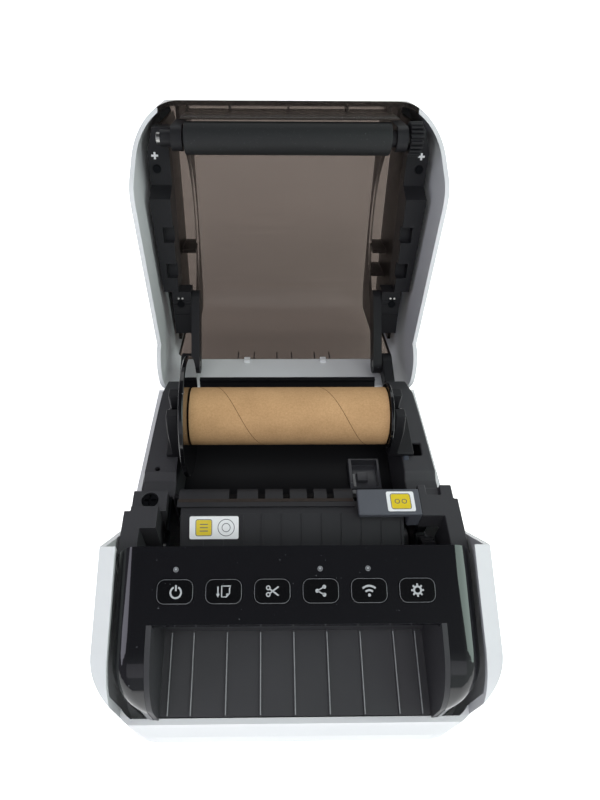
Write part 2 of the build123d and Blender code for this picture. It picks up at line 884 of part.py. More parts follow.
def lid_roof(inset):
    """Outline from the end of the hinge barrel up the rear, over the top and down the front."""
    radius = barrel_radius - inset
    low, mid, side = [on_circle(hinge_y, hinge_z, radius, a) for a in (-45, -22.5, 0)]
    back = rear - inset
    top = lid_top - 1.5 - inset
    ahead = lid_front + lid_lean + inset
    return [
        ThreePointArc(low, mid, side),
        Line(side, (back, 118)),
        ThreePointArc((back, 118), (back - 9.4, top - 9.4), (78, top)),
        ThreePointArc((78, top), (27, top + 1.5), (-24, top)),
        ThreePointArc((-24, top), (ahead + 6.2, top - 8.2), (ahead, lid_shoulder_z)),
    ]


def lid_outer():
    """Closed side outline of the lid with its round ends beside the hinge."""
    start = 180 + degrees(asin((hinge_z - lid_rim) / barrel_radius))
    first, middle, last = [
        on_circle(hinge_y, hinge_z, barrel_radius, a) for a in (start, (start + 315) / 2, 315)]
    lip = Polyline((lid_front + lid_lean, lid_shoulder_z), (lid_front, lid_front_z),
                   (cheek_front_y, lid_front_z))
    seam = FilletPolyline((cheek_front_y, lid_front_z), (kink_y, lid_rim), first, radius=kink_radius)
    return Curve() + lid_roof(0) + [lip, seam, ThreePointArc(first, middle, last)]


def lid_inner():
    """Inside of the lid, open at the bottom."""
    inside = on_circle(hinge_y, hinge_z, barrel_radius - wall, -45)
    outside = on_circle(hinge_y, hinge_z, barrel_radius + 3, -45)
    lip = lid_front + wall
    lower = Polyline((lip + lid_lean, lid_shoulder_z), (lip, lid_front_z), (lip, 20), (outside[0], 20),
                     outside, inside)
    return Curve() + lid_roof(wall) + [lower]


def lid_skin():
    """Whole skin of the closed lid, before it is split into the shell and the window."""
    half = width / 2
    outer = side_prism(lid_outer(), -half, half) & plan_prism(0, lid_front, rear, lid_corner, corner_rear)
    inner = side_prism(lid_inner(), -half, half)
    inner &= plan_prism(wall, lid_front + wall, rear - wall, lid_corner - wall, corner_rear - wall)
    return outer - inner


def window_area():
    """Space that the smoked window takes out of the lid's skin: its front, roof and upper rear."""
    return block(-window_half, window_half, lid_front - 1, rear + 1, window_bottom, tall)


def lid_shell():
    """White cheeks, top sides and rear of the lid."""
    shell_piece = lid_skin() - window_area()
    inside = rear - wall
    for x in (-knob_x, knob_x):
        shell_piece += block(x - 2, x + 2, inside - 2, inside + 0.5, window_bottom - 5, window_bottom - 0.5)
    return shell_piece


def lid_window():
    """Smoked window with two pairs of side walls inside it and the cross bars between them."""
    window = lid_skin() & window_area()
    inside = side_prism(lid_inner(), -window_half, window_half)
    roll = rod(-90, 90, roll_y, roll_z, roll_clearance)
    roller = rod(-90, 90, platen_y, platen_z, platen_radius + 2.4)
    outer_face = window_half - window_wall
    for side in (-1, 1):
        inner_face = side * (rail_inner - window_wall)
        inner_wall = block(inner_face, side * rail_inner, -50, window_wall_rear, 78, tall)
        inner_wall -= block(-70, 70, -50, platen_y + 7, 70, rail_top + 1.5)
        window += (inner_wall & inside) - roll - roller
        outer_wall = block(side * outer_face, side * window_half, -40, window_wall_rear, rail_top, tall)
        window += outer_wall & inside
    for side, y in cross_bars:
        bar = block(side * (rail_inner - 1), side * (outer_face + 1), y, y + cross_bar_thick, 126, tall)
        window += bar & inside
    return window


def front_wall_y(z):
    """Depth of the inside of the lid's leaning front wall at a height z."""
    return lid_front + wall + lid_lean * (z - lid_front_z) / (lid_shoulder_z - lid_front_z)


def roller_guard():
    """Thin guard in front of the platen roller, ribbed to the window's front wall."""
    guard = block(*guard_box)
    top, face = guard_box[-1], guard_box[2] + 0.2
    rib = outline((face, top - 10), (face, top), (front_wall_y(top), top), (front_wall_y(top - 10), top - 10))
    for x in guard_ribs:
        guard += side_prism(rib, x - 0.6, x + 0.6)
    return guard


def rail(side):
    """Black rail inside the lid, with the lug that carries one end of the roller."""
    bar = side_prism(
        outline((rail_front, rail_step), (rail_front, rail_top), (rail_rear, rail_top - 3),
                (rail_rear, rail_bottom), (-4, rail_bottom), (-9, rail_step)), rail_face, width / 2)
    bar &= extrude(make_face(outline(*rail_plan)), 100)
    lug = rod(57, rail_inner, platen_y, platen_z, lug_radius)
    lug += block(57, rail_inner, platen_y - lug_radius, platen_y + lug_radius, platen_z, rail_top)
    lug += block(57, rail_face + 1, rail_front, platen_y + lug_radius, rail_step, rail_top)
    bar += lug
    bar -= rod(50, rail_inner + 2, platen_y, platen_z, bush_radius)
    for y, z in ((12, 5), (34, 5)):
        bar -= block(rail_face - 1, rail_face + 6, y, y + 9, rail_bottom - 1, rail_bottom + z)
    return bar if side > 0 else mirrored(bar)


def lid_arm(side):
    """Latch block behind the rail, with the arm that swings on the hinge pin."""
    root = latch_root
    lean = atan2(hinge_z - root[1], hinge_y - root[0])
    offset_y, offset_z = -sin(lean), cos(lean)
    ends = [(root, latch_radius), ((hinge_y, hinge_z), latch_radius + 0.2)]
    upper = [(y + r * offset_y, z + r * offset_z) for (y, z), r in ends]
    under = [(y - r * offset_y, z - r * offset_z) for (y, z), r in ends]
    arm = side_prism(outline(upper[0], upper[1], under[1], under[0]), arm_inner, arm_outer)
    arm += rod(arm_inner, arm_outer, *root, latch_radius)
    arm += rod(arm_inner, arm_outer, hinge_y, hinge_z, latch_radius + 0.2)
    arm += block(*latch_box)
    arm -= rod(arm_inner - 1, ear_outer, hinge_y, hinge_z, hinge_pin_radius + turn_gap)
    return arm if side > 0 else mirrored(arm)


def platen_rubber():
    """Rubber sleeve of the roller."""
    sleeve = rod(platen_left, platen_right, platen_y, platen_z, platen_radius)
    return sleeve - rod(platen_left, platen_right, platen_y, platen_z, platen_core)


def platen_shaft():
    """Steel shaft, thick under the rubber and thin in the bearings."""
    thick = rod(platen_left, platen_right, platen_y, platen_z, platen_core)
    return thick + rod(-shaft_half, shaft_half, platen_y, platen_z, platen_shaft_radius)


def platen_gear():
    """Gear on the right end of the roller."""
    centre = (platen_y, platen_z)
    return gear(platen_teeth, gear_left, gear_right, centre, platen_shaft_radius, platen_phase())


def left_bush():
    bush = rod(-69, -56.4, platen_y, platen_z, neck_radius)
    bush += rod(-rail_inner, -57, platen_y, platen_z, bush_radius)
    return bush - rod(-80, 0, platen_y, platen_z, platen_shaft_radius + turn_gap)


def right_bush():
    bush = rod(54.4, rail_inner + 0.6, platen_y, platen_z, neck_radius)
    bush += rod(57, rail_inner, platen_y, platen_z, bush_radius)
    return bush - rod(0, 80, platen_y, platen_z, platen_shaft_radius + turn_gap)


def lid_screws():
    """Screws in the rails and the latch blocks."""
    screws = []
    for x in (-74.5, 74.5):
        screws.append(post(x, -18, rail_step - 0.9, rail_step, 2.3))
    for x in (-66, 66):
        screws.append(post(x, 60, rail_bottom - 0.9, rail_bottom, 2.3))
    return Compound(children=screws)


save("lower_case", lower_case())
save("rubber_feet", feet())
save("frame_screws", frame_screws())
save("bay_floor", bay_floor())
save("left_flank", flank(-1))
save("right_flank", flank(1))
save("left_cradle", cradle(-1))
save("right_cradle", cradle(1))
save("hinge_ears", hinge_ears())
save("hinge_pins", hinge_pins())
save("front_panel", front_panel())
for number, x in enumerate(key_columns()):
    save(key_names[number], key(x))
save("lamp_lenses", lamp_lenses())
save("key_board", key_board())
save("key_switches", key_switches())
save("output_tray", output_tray())
save("media_guide", media_guide())
save("comb_plate", comb_plate())
save("print_head", print_head())
save("heat_sink", heat_sink())
save("head_springs", head_springs())
save("head_carrier", head_carrier())
save("side_plates", Compound(children=[side_plate(-1), side_plate(1)]))
save("left_block", left_block())
save("right_block", right_block())
save("gear_cover", gear_cover())
save("media_sensor", media_sensor())
save("idler_gear", idler_gear())
save("idler_shaft", idler_shaft())
save("motor_pinion", motor_pinion())
save("drive_motor", drive_motor())
save("fixed_blade", fixed_blade())
save("moving_blade", moving_blade())
save("cutter_pinion", cutter_pinion())
save("cutter_motor", cutter_motor())
save("main_board", main_board())
save("power_inlet", power_inlet())
save("usb_port", socket("usb_port", 16, 9))
save("network_port", socket("network_port", 18, 12))
save("spool_shaft", spool_shaft())
save("left_flange", flange(-1))
save("right_flange", flange(1))
save("roll_core", roll_core())
save("lid_shell", opened(lid_shell()))
save("lid_window", opened(lid_window()))
save("roller_guard", opened(roller_guard()))
save("left_rail", opened(rail(-1)))
save("right_rail", opened(rail(1)))
save("left_arm", opened(lid_arm(-1)))
save("right_arm", opened(lid_arm(1)))
save("platen_rubber", opened(platen_rubber()))
save("platen_shaft", opened(platen_shaft()))
save("platen_gear", opened(platen_gear()))
save("platen_bushes", opened(Compound(children=[left_bush(), right_bush()])))
save("lid_screws", opened(lid_screws()))
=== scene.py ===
"""Looks of a desktop label printer with its lid open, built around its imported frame."""
import json
import logging
import random
from collections.abc import Callable
from dataclasses import dataclass, field
from enum import Enum
from math import cos, radians, sin, tau

import bmesh
import bpy
from mathutils import Matrix, Vector

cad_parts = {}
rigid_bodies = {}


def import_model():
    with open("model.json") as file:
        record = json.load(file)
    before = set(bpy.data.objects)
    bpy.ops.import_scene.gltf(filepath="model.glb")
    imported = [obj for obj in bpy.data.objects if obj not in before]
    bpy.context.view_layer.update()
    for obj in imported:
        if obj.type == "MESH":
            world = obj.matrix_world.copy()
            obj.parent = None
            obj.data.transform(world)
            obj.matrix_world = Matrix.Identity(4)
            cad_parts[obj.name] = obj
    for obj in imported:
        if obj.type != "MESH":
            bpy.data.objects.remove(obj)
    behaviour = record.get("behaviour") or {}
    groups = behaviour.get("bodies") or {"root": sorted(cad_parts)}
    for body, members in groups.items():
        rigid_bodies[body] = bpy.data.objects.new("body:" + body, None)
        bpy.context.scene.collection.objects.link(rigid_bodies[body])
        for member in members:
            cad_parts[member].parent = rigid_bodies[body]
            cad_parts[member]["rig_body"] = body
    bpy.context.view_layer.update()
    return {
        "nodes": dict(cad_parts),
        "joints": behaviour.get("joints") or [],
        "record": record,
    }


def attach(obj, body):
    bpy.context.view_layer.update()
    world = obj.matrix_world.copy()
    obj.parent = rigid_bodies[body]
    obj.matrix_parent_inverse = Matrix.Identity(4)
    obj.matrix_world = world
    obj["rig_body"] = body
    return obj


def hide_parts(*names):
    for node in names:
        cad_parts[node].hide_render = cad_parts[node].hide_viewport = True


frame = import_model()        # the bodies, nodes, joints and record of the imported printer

log = logging.getLogger("label_printer")

MM = 0.001
IMAGE_WIDTH, IMAGE_HEIGHT = 600, 800

Rgba = tuple[float, float, float, float]
Point = tuple[float, float, float]


class Side(Enum):
    """The two sides of the printer, by the sign of X."""

    LEFT = -1
    RIGHT = 1


class Body(str, Enum):
    """The bodies that added details ride on, besides the keys."""

    BASE = "base"
    LID = "lid"
    CORE = "core"


def linear(hex_colour: str) -> Rgba:
    """Turn an sRGB hex colour into linear light.

    Args:
        hex_colour: Six hex digits, with or without a leading #.

    Returns:
        Red, green, blue and an alpha of 1.
    """
    digits = hex_colour.lstrip("#")
    parts = [int(digits[i:i + 2], 16) / 255 for i in (0, 2, 4)]
    light = [c / 12.92 if c <= 0.04045 else ((c + 0.055) / 1.055) ** 2.4 for c in parts]
    return (light[0], light[1], light[2], 1.0)


def per_metre(size_mm: float) -> float:
    """Scale of a texture whose features are a given size, for coordinates in metres."""
    return 1.0 / (size_mm * MM)


def add_node(tree: bpy.types.NodeTree, kind: str, settings: dict | None = None,
             links: dict | None = None) -> bpy.types.Node:
    """Add one shader node.

    Args:
        tree: The material's node tree.
        kind: Blender's name of the node's type.
        settings: Values by property name, or by input name or number.
        links: Output sockets by the name or number of the input that they feed.

    Returns:
        The new node.
    """
    node = tree.nodes.new(kind)
    for name, value in (settings or {}).items():
        if isinstance(name, int) or name in node.inputs:
            node.inputs[name].default_value = value
        else:
            setattr(node, name, value)
    for name, socket in (links or {}).items():
        tree.links.new(socket, node.inputs[name])
    return node


def new_material(name: str) -> tuple[bpy.types.Material, bpy.types.NodeTree, bpy.types.Node]:
    """Make an empty node material.

    Args:
        name: The material's name.

    Returns:
        The material, its tree and its Principled shader.
    """
    material = bpy.data.materials.new(name)
    material.use_nodes = True
    tree = material.node_tree
    tree.nodes.clear()
    shader = add_node(tree, "ShaderNodeBsdfPrincipled")
    add_node(tree, "ShaderNodeOutputMaterial", links={"Surface": shader.outputs["BSDF"]})
    return material, tree, shader


# Finishes


@dataclass(frozen=True)
class MouldedAbs:
    """Injection-moulded ABS with a spark-eroded grain, which gives the eye a soft, even sheen.

    The grain of the real mould is about 0.1 mm, too fine to show, so it is drawn coarser.
    """

    name: str
    colour: str
    shade: str
    roughness: float = 0.5
    grain_mm: float = 0.7
    depth_mm: float = 0.02
    cloud_mm: float = 45.0
    dust: float = 0.0
    gloss: float = 0.5
    dust_colour: str = "8d8f92"
    dust_mm: float = 1.6

    def build(self) -> bpy.types.Material:
        """Make the material: two close tones in slow clouds, grain in the bump, and dust specks."""
        material, tree, shader = new_material(self.name)
        place = add_node(tree, "ShaderNodeTexCoord").outputs["Object"]
        clouds = add_node(tree, "ShaderNodeTexNoise",
                          {"Scale": per_metre(self.cloud_mm), "Detail": 3.0}, {"Vector": place})
        tone = add_node(tree, "ShaderNodeMix",
                        {"data_type": "RGBA", 6: linear(self.colour), 7: linear(self.shade)},
                        {0: clouds.outputs["Fac"]})
        colour = tone.outputs[2]
        if self.dust > 0:
            specks = add_node(tree, "ShaderNodeTexNoise",
                              {"Scale": per_metre(self.dust_mm), "Detail": 2.0, "Roughness": 0.7},
                              {"Vector": place})
            shown = add_node(tree, "ShaderNodeMapRange",
                             {"From Min": 0.80 - self.dust, "From Max": 0.88 - self.dust, "To Max": 0.75},
                             {"Value": specks.outputs["Fac"]})
            dusty = add_node(tree, "ShaderNodeMix", {"data_type": "RGBA", 7: linear(self.dust_colour)},
                             {0: shown.outputs["Result"], 6: colour})
            colour = dusty.outputs[2]
        tree.links.new(colour, shader.inputs["Base Color"])
        grain = add_node(tree, "ShaderNodeTexNoise",
                         {"Scale": per_metre(self.grain_mm), "Detail": 4.0, "Roughness": 0.6},
                         {"Vector": place})
        sheen = add_node(tree, "ShaderNodeMapRange",
                         {"To Min": self.roughness - 0.07, "To Max": self.roughness + 0.07},
                         {"Value": grain.outputs["Fac"]})
        tree.links.new(sheen.outputs["Result"], shader.inputs["Roughness"])
        bump = add_node(tree, "ShaderNodeBump", {"Strength": 0.6, "Distance": self.depth_mm * MM},
                        {"Height": grain.outputs["Fac"]})
        tree.links.new(bump.outputs["Normal"], shader.inputs["Normal"])
        shader.inputs["Specular IOR Level"].default_value = self.gloss
        return material


@dataclass(frozen=True)
class PolishedAbs:
    """Black ABS from a polished mould, which mirrors the lights with slow waves and holds dust."""

    name: str
    colour: str
    dust_colour: str
    roughness: float = 0.06
    wave_mm: float = 22.0
    wave_depth_mm: float = 0.05
    dust_mm: float = 2.2
    dust_level: float = 0.80
    gloss: float = 0.5

    def build(self) -> bpy.types.Material:
        """Make the material: mirror gloss with waves in the bump, and a few pale specks of dust."""
        material, tree, shader = new_material(self.name)
        place = add_node(tree, "ShaderNodeTexCoord").outputs["Object"]
        specks = add_node(tree, "ShaderNodeTexNoise",
                          {"Scale": per_metre(self.dust_mm), "Detail": 1.0}, {"Vector": place})
        shown = add_node(tree, "ShaderNodeMapRange",
                         {"From Min": self.dust_level, "From Max": self.dust_level + 0.04},
                         {"Value": specks.outputs["Fac"]})
        tone = add_node(tree, "ShaderNodeMix",
                        {"data_type": "RGBA", 6: linear(self.colour), 7: linear(self.dust_colour)},
                        {0: shown.outputs["Result"]})
        tree.links.new(tone.outputs[2], shader.inputs["Base Color"])
        sheen = add_node(tree, "ShaderNodeMapRange", {"To Min": self.roughness, "To Max": 0.5},
                         {"Value": shown.outputs["Result"]})
        tree.links.new(sheen.outputs["Result"], shader.inputs["Roughness"])
        waves = add_node(tree, "ShaderNodeTexNoise",
                         {"Scale": per_metre(self.wave_mm), "Detail": 1.0}, {"Vector": place})
        bump = add_node(tree, "ShaderNodeBump", {"Strength": 0.5, "Distance": self.wave_depth_mm * MM},
                        {"Height": waves.outputs["Fac"]})
        tree.links.new(bump.outputs["Normal"], shader.inputs["Normal"])
        shader.inputs["IOR"].default_value = 1.53
        shader.inputs["Specular IOR Level"].default_value = self.gloss
        return material


@dataclass(frozen=True)
class SmokedPolycarbonate:
    """Smoked clear polycarbonate, a brown-grey see-through skin with faint drawn streaks."""

    name: str
    tint: str
    streak: str
    roughness: float = 0.12
    streak_mm: float = 3.0
    streak_length_mm: float = 60.0
    clearness: float = 0.93

    def build(self) -> bpy.types.Material:
        """Make the material: tinted transmission, with streaks across the window in colour and gloss."""
        material, tree, shader = new_material(self.name)
        place = add_node(tree, "ShaderNodeTexCoord").outputs["Object"]
        drawn = add_node(tree, "ShaderNodeMapping",
                         {"Scale": (per_metre(self.streak_length_mm), per_metre(self.streak_mm),
                                    per_metre(self.streak_mm))}, {"Vector": place})
        streaks = add_node(tree, "ShaderNodeTexNoise", {"Scale": 1.0, "Detail": 3.0},
                           {"Vector": drawn.outputs["Vector"]})
        tone = add_node(tree, "ShaderNodeMix",
                        {"data_type": "RGBA", 6: linear(self.tint), 7: linear(self.streak)},
                        {0: streaks.outputs["Fac"]})
        tree.links.new(tone.outputs[2], shader.inputs["Base Color"])
        gloss = add_node(tree, "ShaderNodeMapRange",
                         {"To Min": self.roughness, "To Max": self.roughness + 0.12},
                         {"Value": streaks.outputs["Fac"]})
        tree.links.new(gloss.outputs["Result"], shader.inputs["Roughness"])
        shader.inputs["Transmission Weight"].default_value = self.clearness
        shader.inputs["IOR"].default_value = 1.2
        return material


@dataclass(frozen=True)
class KraftTube:
    """Spiral-wound kraft paper, dull and fibrous, as on the inside of a paper roll."""

    name: str
    colour: str
    fibre: str
    fibre_mm: float = 0.9
    cloud_mm: float = 14.0

    def build(self) -> bpy.types.Material:
        """Make the material: fine fibre flecks over slow clouds, and a soft paper bump."""
        material, tree, shader = new_material(self.name)
        place = add_node(tree, "ShaderNodeTexCoord").outputs["Object"]
        flecks = add_node(tree, "ShaderNodeTexNoise",
                          {"Scale": per_metre(self.fibre_mm), "Detail": 5.0, "Roughness": 0.75},
                          {"Vector": place})
        clouds = add_node(tree, "ShaderNodeTexNoise",
                          {"Scale": per_metre(self.cloud_mm), "Detail": 2.0}, {"Vector": place})
        both = add_node(tree, "ShaderNodeMath", {"operation": "MULTIPLY_ADD", 1: 2.2},
                        {0: flecks.outputs["Fac"], 2: clouds.outputs["Fac"]})
        level = add_node(tree, "ShaderNodeMapRange", {"From Min": 1.1, "From Max": 2.1},
                         {"Value": both.outputs["Value"]})
        tone = add_node(tree, "ShaderNodeMix",
                        {"data_type": "RGBA", 6: linear(self.fibre), 7: linear(self.colour)},
                        {0: level.outputs["Result"]})
        tree.links.new(tone.outputs[2], shader.inputs["Base Color"])
        bump = add_node(tree, "ShaderNodeBump", {"Strength": 0.5, "Distance": 0.08 * MM},
                        {"Height": flecks.outputs["Fac"]})
        tree.links.new(bump.outputs["Normal"], shader.inputs["Normal"])
        shader.inputs["Roughness"].default_value = 0.82
        shader.inputs["Specular IOR Level"].default_value = 0.3
        return material


@dataclass(frozen=True)
class GroundRubber:
    """Black nitrile rubber with a ground surface, matte and speckled with paper dust."""

    name: str
    colour: str
    speck: str
    speck_mm: float = 0.8
    speck_level: float = 0.62

    def build(self) -> bpy.types.Material:
        """Make the material: near-black matte with fine pale specks and a ground bump."""
        material, tree, shader = new_material(self.name)
        place = add_node(tree, "ShaderNodeTexCoord").outputs["Object"]
        specks = add_node(tree, "ShaderNodeTexNoise",
                          {"Scale": per_metre(self.speck_mm), "Detail": 3.0, "Roughness": 0.7},
                          {"Vector": place})
        shown = add_node(tree, "ShaderNodeMapRange",
                         {"From Min": self.speck_level, "From Max": self.speck_level + 0.12, "To Max": 0.6},
                         {"Value": specks.outputs["Fac"]})
        tone = add_node(tree, "ShaderNodeMix",
                        {"data_type": "RGBA", 6: linear(self.colour), 7: linear(self.speck)},
                        {0: shown.outputs["Result"]})
        tree.links.new(tone.outputs[2], shader.inputs["Base Color"])
        bump = add_node(tree, "ShaderNodeBump", {"Strength": 0.5, "Distance": 0.04 * MM},
                        {"Height": specks.outputs["Fac"]})
        tree.links.new(bump.outputs["Normal"], shader.inputs["Normal"])
        shader.inputs["Roughness"].default_value = 0.62
        return material


@dataclass(frozen=True)
class WorkedMetal:
    """Bare metal with its lathe, mill or rolling marks, which stretch the highlights one way."""

    name: str
    colour: str
    mark: str
    roughness: float
    mark_mm: float = 0.5
    length_mm: float = 12.0

    def build(self) -> bpy.types.Material:
        """Make the material: fine marks along X in colour, roughness and bump."""
        material, tree, shader = new_material(self.name)
        place = add_node(tree, "ShaderNodeTexCoord").outputs["Object"]
        drawn = add_node(tree, "ShaderNodeMapping",
                         {"Scale": (per_metre(self.length_mm), per_metre(self.mark_mm),
                                    per_metre(self.mark_mm))}, {"Vector": place})
        marks = add_node(tree, "ShaderNodeTexNoise", {"Scale": 1.0, "Detail": 3.0},
                         {"Vector": drawn.outputs["Vector"]})
        tone = add_node(tree, "ShaderNodeMix",
                        {"data_type": "RGBA", 6: linear(self.colour), 7: linear(self.mark)},
                        {0: marks.outputs["Fac"]})
        tree.links.new(tone.outputs[2], shader.inputs["Base Color"])
        gloss = add_node(tree, "ShaderNodeMapRange",
                         {"To Min": self.roughness - 0.08, "To Max": self.roughness + 0.12},
                         {"Value": marks.outputs["Fac"]})
        tree.links.new(gloss.outputs["Result"], shader.inputs["Roughness"])
        bump = add_node(tree, "ShaderNodeBump", {"Strength": 0.3, "Distance": 0.02 * MM},
                        {"Height": marks.outputs["Fac"]})
        tree.links.new(bump.outputs["Normal"], shader.inputs["Normal"])
        shader.inputs["Metallic"].default_value = 1.0
        return material


@dataclass(frozen=True)
class PrintedFilm:
    """Printed polyester film or pad-printed ink: one tone, slightly uneven, with a low gloss."""

    name: str
    colour: str
    shade: str
    roughness: float = 0.35

    def build(self) -> bpy.types.Material:
        """Make the material: slow unevenness of the print in colour and gloss."""
        material, tree, shader = new_material(self.name)
        place = add_node(tree, "ShaderNodeTexCoord").outputs["Object"]
        uneven = add_node(tree, "ShaderNodeTexNoise",
                          {"Scale": per_metre(2.5), "Detail": 2.0}, {"Vector": place})
        tone = add_node(tree, "ShaderNodeMix",
                        {"data_type": "RGBA", 6: linear(self.colour), 7: linear(self.shade)},
                        {0: uneven.outputs["Fac"]})
        tree.links.new(tone.outputs[2], shader.inputs["Base Color"])
        gloss = add_node(tree, "ShaderNodeMapRange",
                         {"To Min": self.roughness - 0.05, "To Max": self.roughness + 0.1},
                         {"Value": uneven.outputs["Fac"]})
        tree.links.new(gloss.outputs["Result"], shader.inputs["Roughness"])
        return material


@dataclass
class Finishes:
    """Every material of the printer, made once and shared by its pieces."""

    made: dict[str, bpy.types.Material] = field(default_factory=dict)

    def __post_init__(self) -> None:
        """Build all the finishes."""
        recipes = {
            "white_casing": MouldedAbs("white_abs", "d3d5d7", "cbced1", 0.42, 0.9, 0.012, 60.0),
            # The panel's black is paler than the keys' black: black plastic with a painted reflection of the
            # dim light overhead.
            "gloss_panel": PolishedAbs("polished_black_abs", "131316", "8b8f94", dust_mm=0.9),
            "gloss_keys": PolishedAbs("polished_key_abs", "0b0b0d", "8b8f94", 0.08, dust_mm=0.9),
            "lamp_lens": MouldedAbs("clear_acrylic_lens", "5d6163", "34373a", 0.2),
            "smoked_window": SmokedPolycarbonate("smoked_polycarbonate", "6b615b", "615853"),
            "smoked_wall": SmokedPolycarbonate("smoked_wall_edge_on", "37312e", "2c2725", 0.25,
                                               clearness=0.35),
            "smoked_guard": SmokedPolycarbonate("smoked_guard_sheet", "4a433f", "46403c", 0.2, clearness=0.6),
            "frame_plastic": MouldedAbs("charcoal_abs_grained", "39393c", "303033", 0.5, 0.5, 0.03, 30.0,
                                        dust=0.02, gloss=0.3),
            "black_plastic": MouldedAbs("black_abs_grained", "1e1e21", "161618", 0.46, 0.5, 0.03, 30.0,
                                        dust=0.02, gloss=0.25),
            # Darker than black_plastic: painted shade for the floor of the hollow bay.
            "bay_shaded_plastic": MouldedAbs("black_abs_smooth_painted_shade", "111114", "0d0d10", 0.42, 0.5, 0.02, 30.0,
                                      gloss=0.25),
            "comb_plastic": MouldedAbs("dark_abs_grained", "2a2a2d", "242427", 0.5, 0.5, 0.03, 30.0,
                                       dust=0.02, gloss=0.3),
            "cover_plastic": MouldedAbs("blue_grey_abs", "53565d", "494c53", 0.5, 0.5, 0.03, 30.0,
                                        dust=0.02, gloss=0.3),
            "spool_plastic": PolishedAbs("spool_black_abs", "0c0c0e", "77797c", 0.05, gloss=0.5),
            "kraft_board": KraftTube("wound_kraft_paper", "bf9a70", "a5825b"),
            "roller_rubber": GroundRubber("ground_nitrile_rubber", "101113", "8a8e93", speck_level=0.66),
            "foot_rubber": GroundRubber("moulded_foot_rubber", "2b2b2d", "4a4a4c", 1.4, 0.7),
            "bright_steel": WorkedMetal("turned_steel", "c9c9c6", "9c9b97", 0.28),
            "blackened_steel": WorkedMetal("blackened_steel", "1f2023", "17181a", 0.42),
            "sheet_steel": WorkedMetal("rolled_sheet_steel", "a9acae", "8c8f92", 0.36),
            "motor_steel": WorkedMetal("zinc_plated_steel", "8c8d90", "6d6e72", 0.4),
            "gear_plastic": MouldedAbs("natural_acetal", "dcd9cf", "cfcbbe", 0.35, 0.6, 0.01),
            "sink_aluminium": WorkedMetal("extruded_aluminium", "c4c6c9", "a9abaf", 0.35),
            "head_ceramic": PrintedFilm("glazed_alumina", "8f8a80", "7d786f", 0.2),
            "board_laminate": PrintedFilm("solder_mask_laminate", "1f5a3a", "184a2f", 0.3),
            "switch_plastic": MouldedAbs("switch_nylon", "a5a5a0", "8f8f8a", 0.4),
            "socket_plastic": MouldedAbs("socket_nylon", "1d1d1f", "161618", 0.45),
            "socket_steel": WorkedMetal("stamped_shell_steel", "b9babb", "9d9ea0", 0.3),
            "sensor_plastic": PolishedAbs("sensor_housing_abs", "3a3b3f", "6d6f73", 0.2),
            "label_film": PrintedFilm("white_label_film", "e4e7e8", "dadddf", 0.3),
            "seam_paper": KraftTube("kraft_seam_shadow", "6f5233", "5e4429"),
            # Pale line round each key: a painted highlight of the light on the key's rounded edge.
            "key_edge_highlight": PrintedFilm("painted_highlight_black_abs", "6a6c70", "55575b", 0.25),
            # Pale lines on the tray's rib tops: painted highlights where the light catches each rib.
            "rib_top_highlight": PrintedFilm("painted_rib_highlight_abs", "8d9092", "6f7275", 0.3),
            "lamp_core": PrintedFilm("pale_lamp_core", "9a9da1", "85888c", 0.25),
            "clear_guide": PrintedFilm("frosted_clear_guide", "8a8b8c", "77797b", 0.2),
            "blue_black": MouldedAbs("blue_black_abs", "2b303c", "242833", 0.4),
            "brown_felt": PrintedFilm("brown_felt_strip", "2b221e", "211a17", 0.8),
            "yellow_ink": PrintedFilm("yellow_screen_ink", "d9c21c", "cdb516", 0.35),
            "grey_ink": PrintedFilm("grey_screen_ink", "5a5f66", "4c5158", 0.35),
            "key_ink": PrintedFilm("pale_pad_print", "a9adb0", "9a9ea1", 0.4),
        }
        for slot_name, recipe in recipes.items():
            self.made[slot_name] = recipe.build()

    def of(self, slot_name: str) -> bpy.types.Material:
        """The material of one slot."""
        return self.made[slot_name]


# Mesh tools


def new_piece(name: str, mesh: bmesh.types.BMesh) -> bpy.types.Object:
    """Turn a bmesh into an object in the scene.

    Args:
        name: The object's name.
        mesh: The bmesh, which is freed.

    Returns:
        The new object, at the origin.
    """
    data = bpy.data.meshes.new(name)
    mesh.to_mesh(data)
    mesh.free()
    piece = bpy.data.objects.new(name, data)
    bpy.context.scene.collection.objects.link(piece)
    return piece


def bake_modifiers(piece: bpy.types.Object) -> None:
    """Replace the piece's mesh by the result of its modifiers."""
    bpy.context.view_layer.update()
    graph = bpy.context.evaluated_depsgraph_get()
    mesh = bpy.data.meshes.new_from_object(piece.evaluated_get(graph))
    piece.modifiers.clear()
    piece.data = mesh


def round_edges(piece: bpy.types.Object, width_mm: float, segments: int = 2,
                sharp_degrees: float = 28.0) -> None:
    """Round a piece's sharp edges and keep its flat faces flat to the eye.

    Args:
        piece: The object to change.
        width_mm: Width of the rounding.
        segments: Number of facets across it.
        sharp_degrees: Edges that turn less than this stay as they are.
    """
    if width_mm > 0:
        bevel = piece.modifiers.new("rounding", "BEVEL")
        bevel.width = width_mm * MM
        bevel.segments = segments
        bevel.limit_method = "ANGLE"
        bevel.angle_limit = radians(sharp_degrees)
        bevel.use_clamp_overlap = True
        bevel.miter_outer = "MITER_ARC"
    for polygon in piece.data.polygons:
        polygon.use_smooth = True
    piece.data.set_sharp_from_angle(angle=radians(42))
    weighted = piece.modifiers.new("flat faces", "WEIGHTED_NORMAL")
    weighted.keep_sharp = True
    bake_modifiers(piece)


def slot_of(node: str) -> str:
    """The record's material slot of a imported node."""
    for row in frame["record"]["subparts"]:
        if row["node"] == node:
            return row["material_slot"]
    raise KeyError(node)


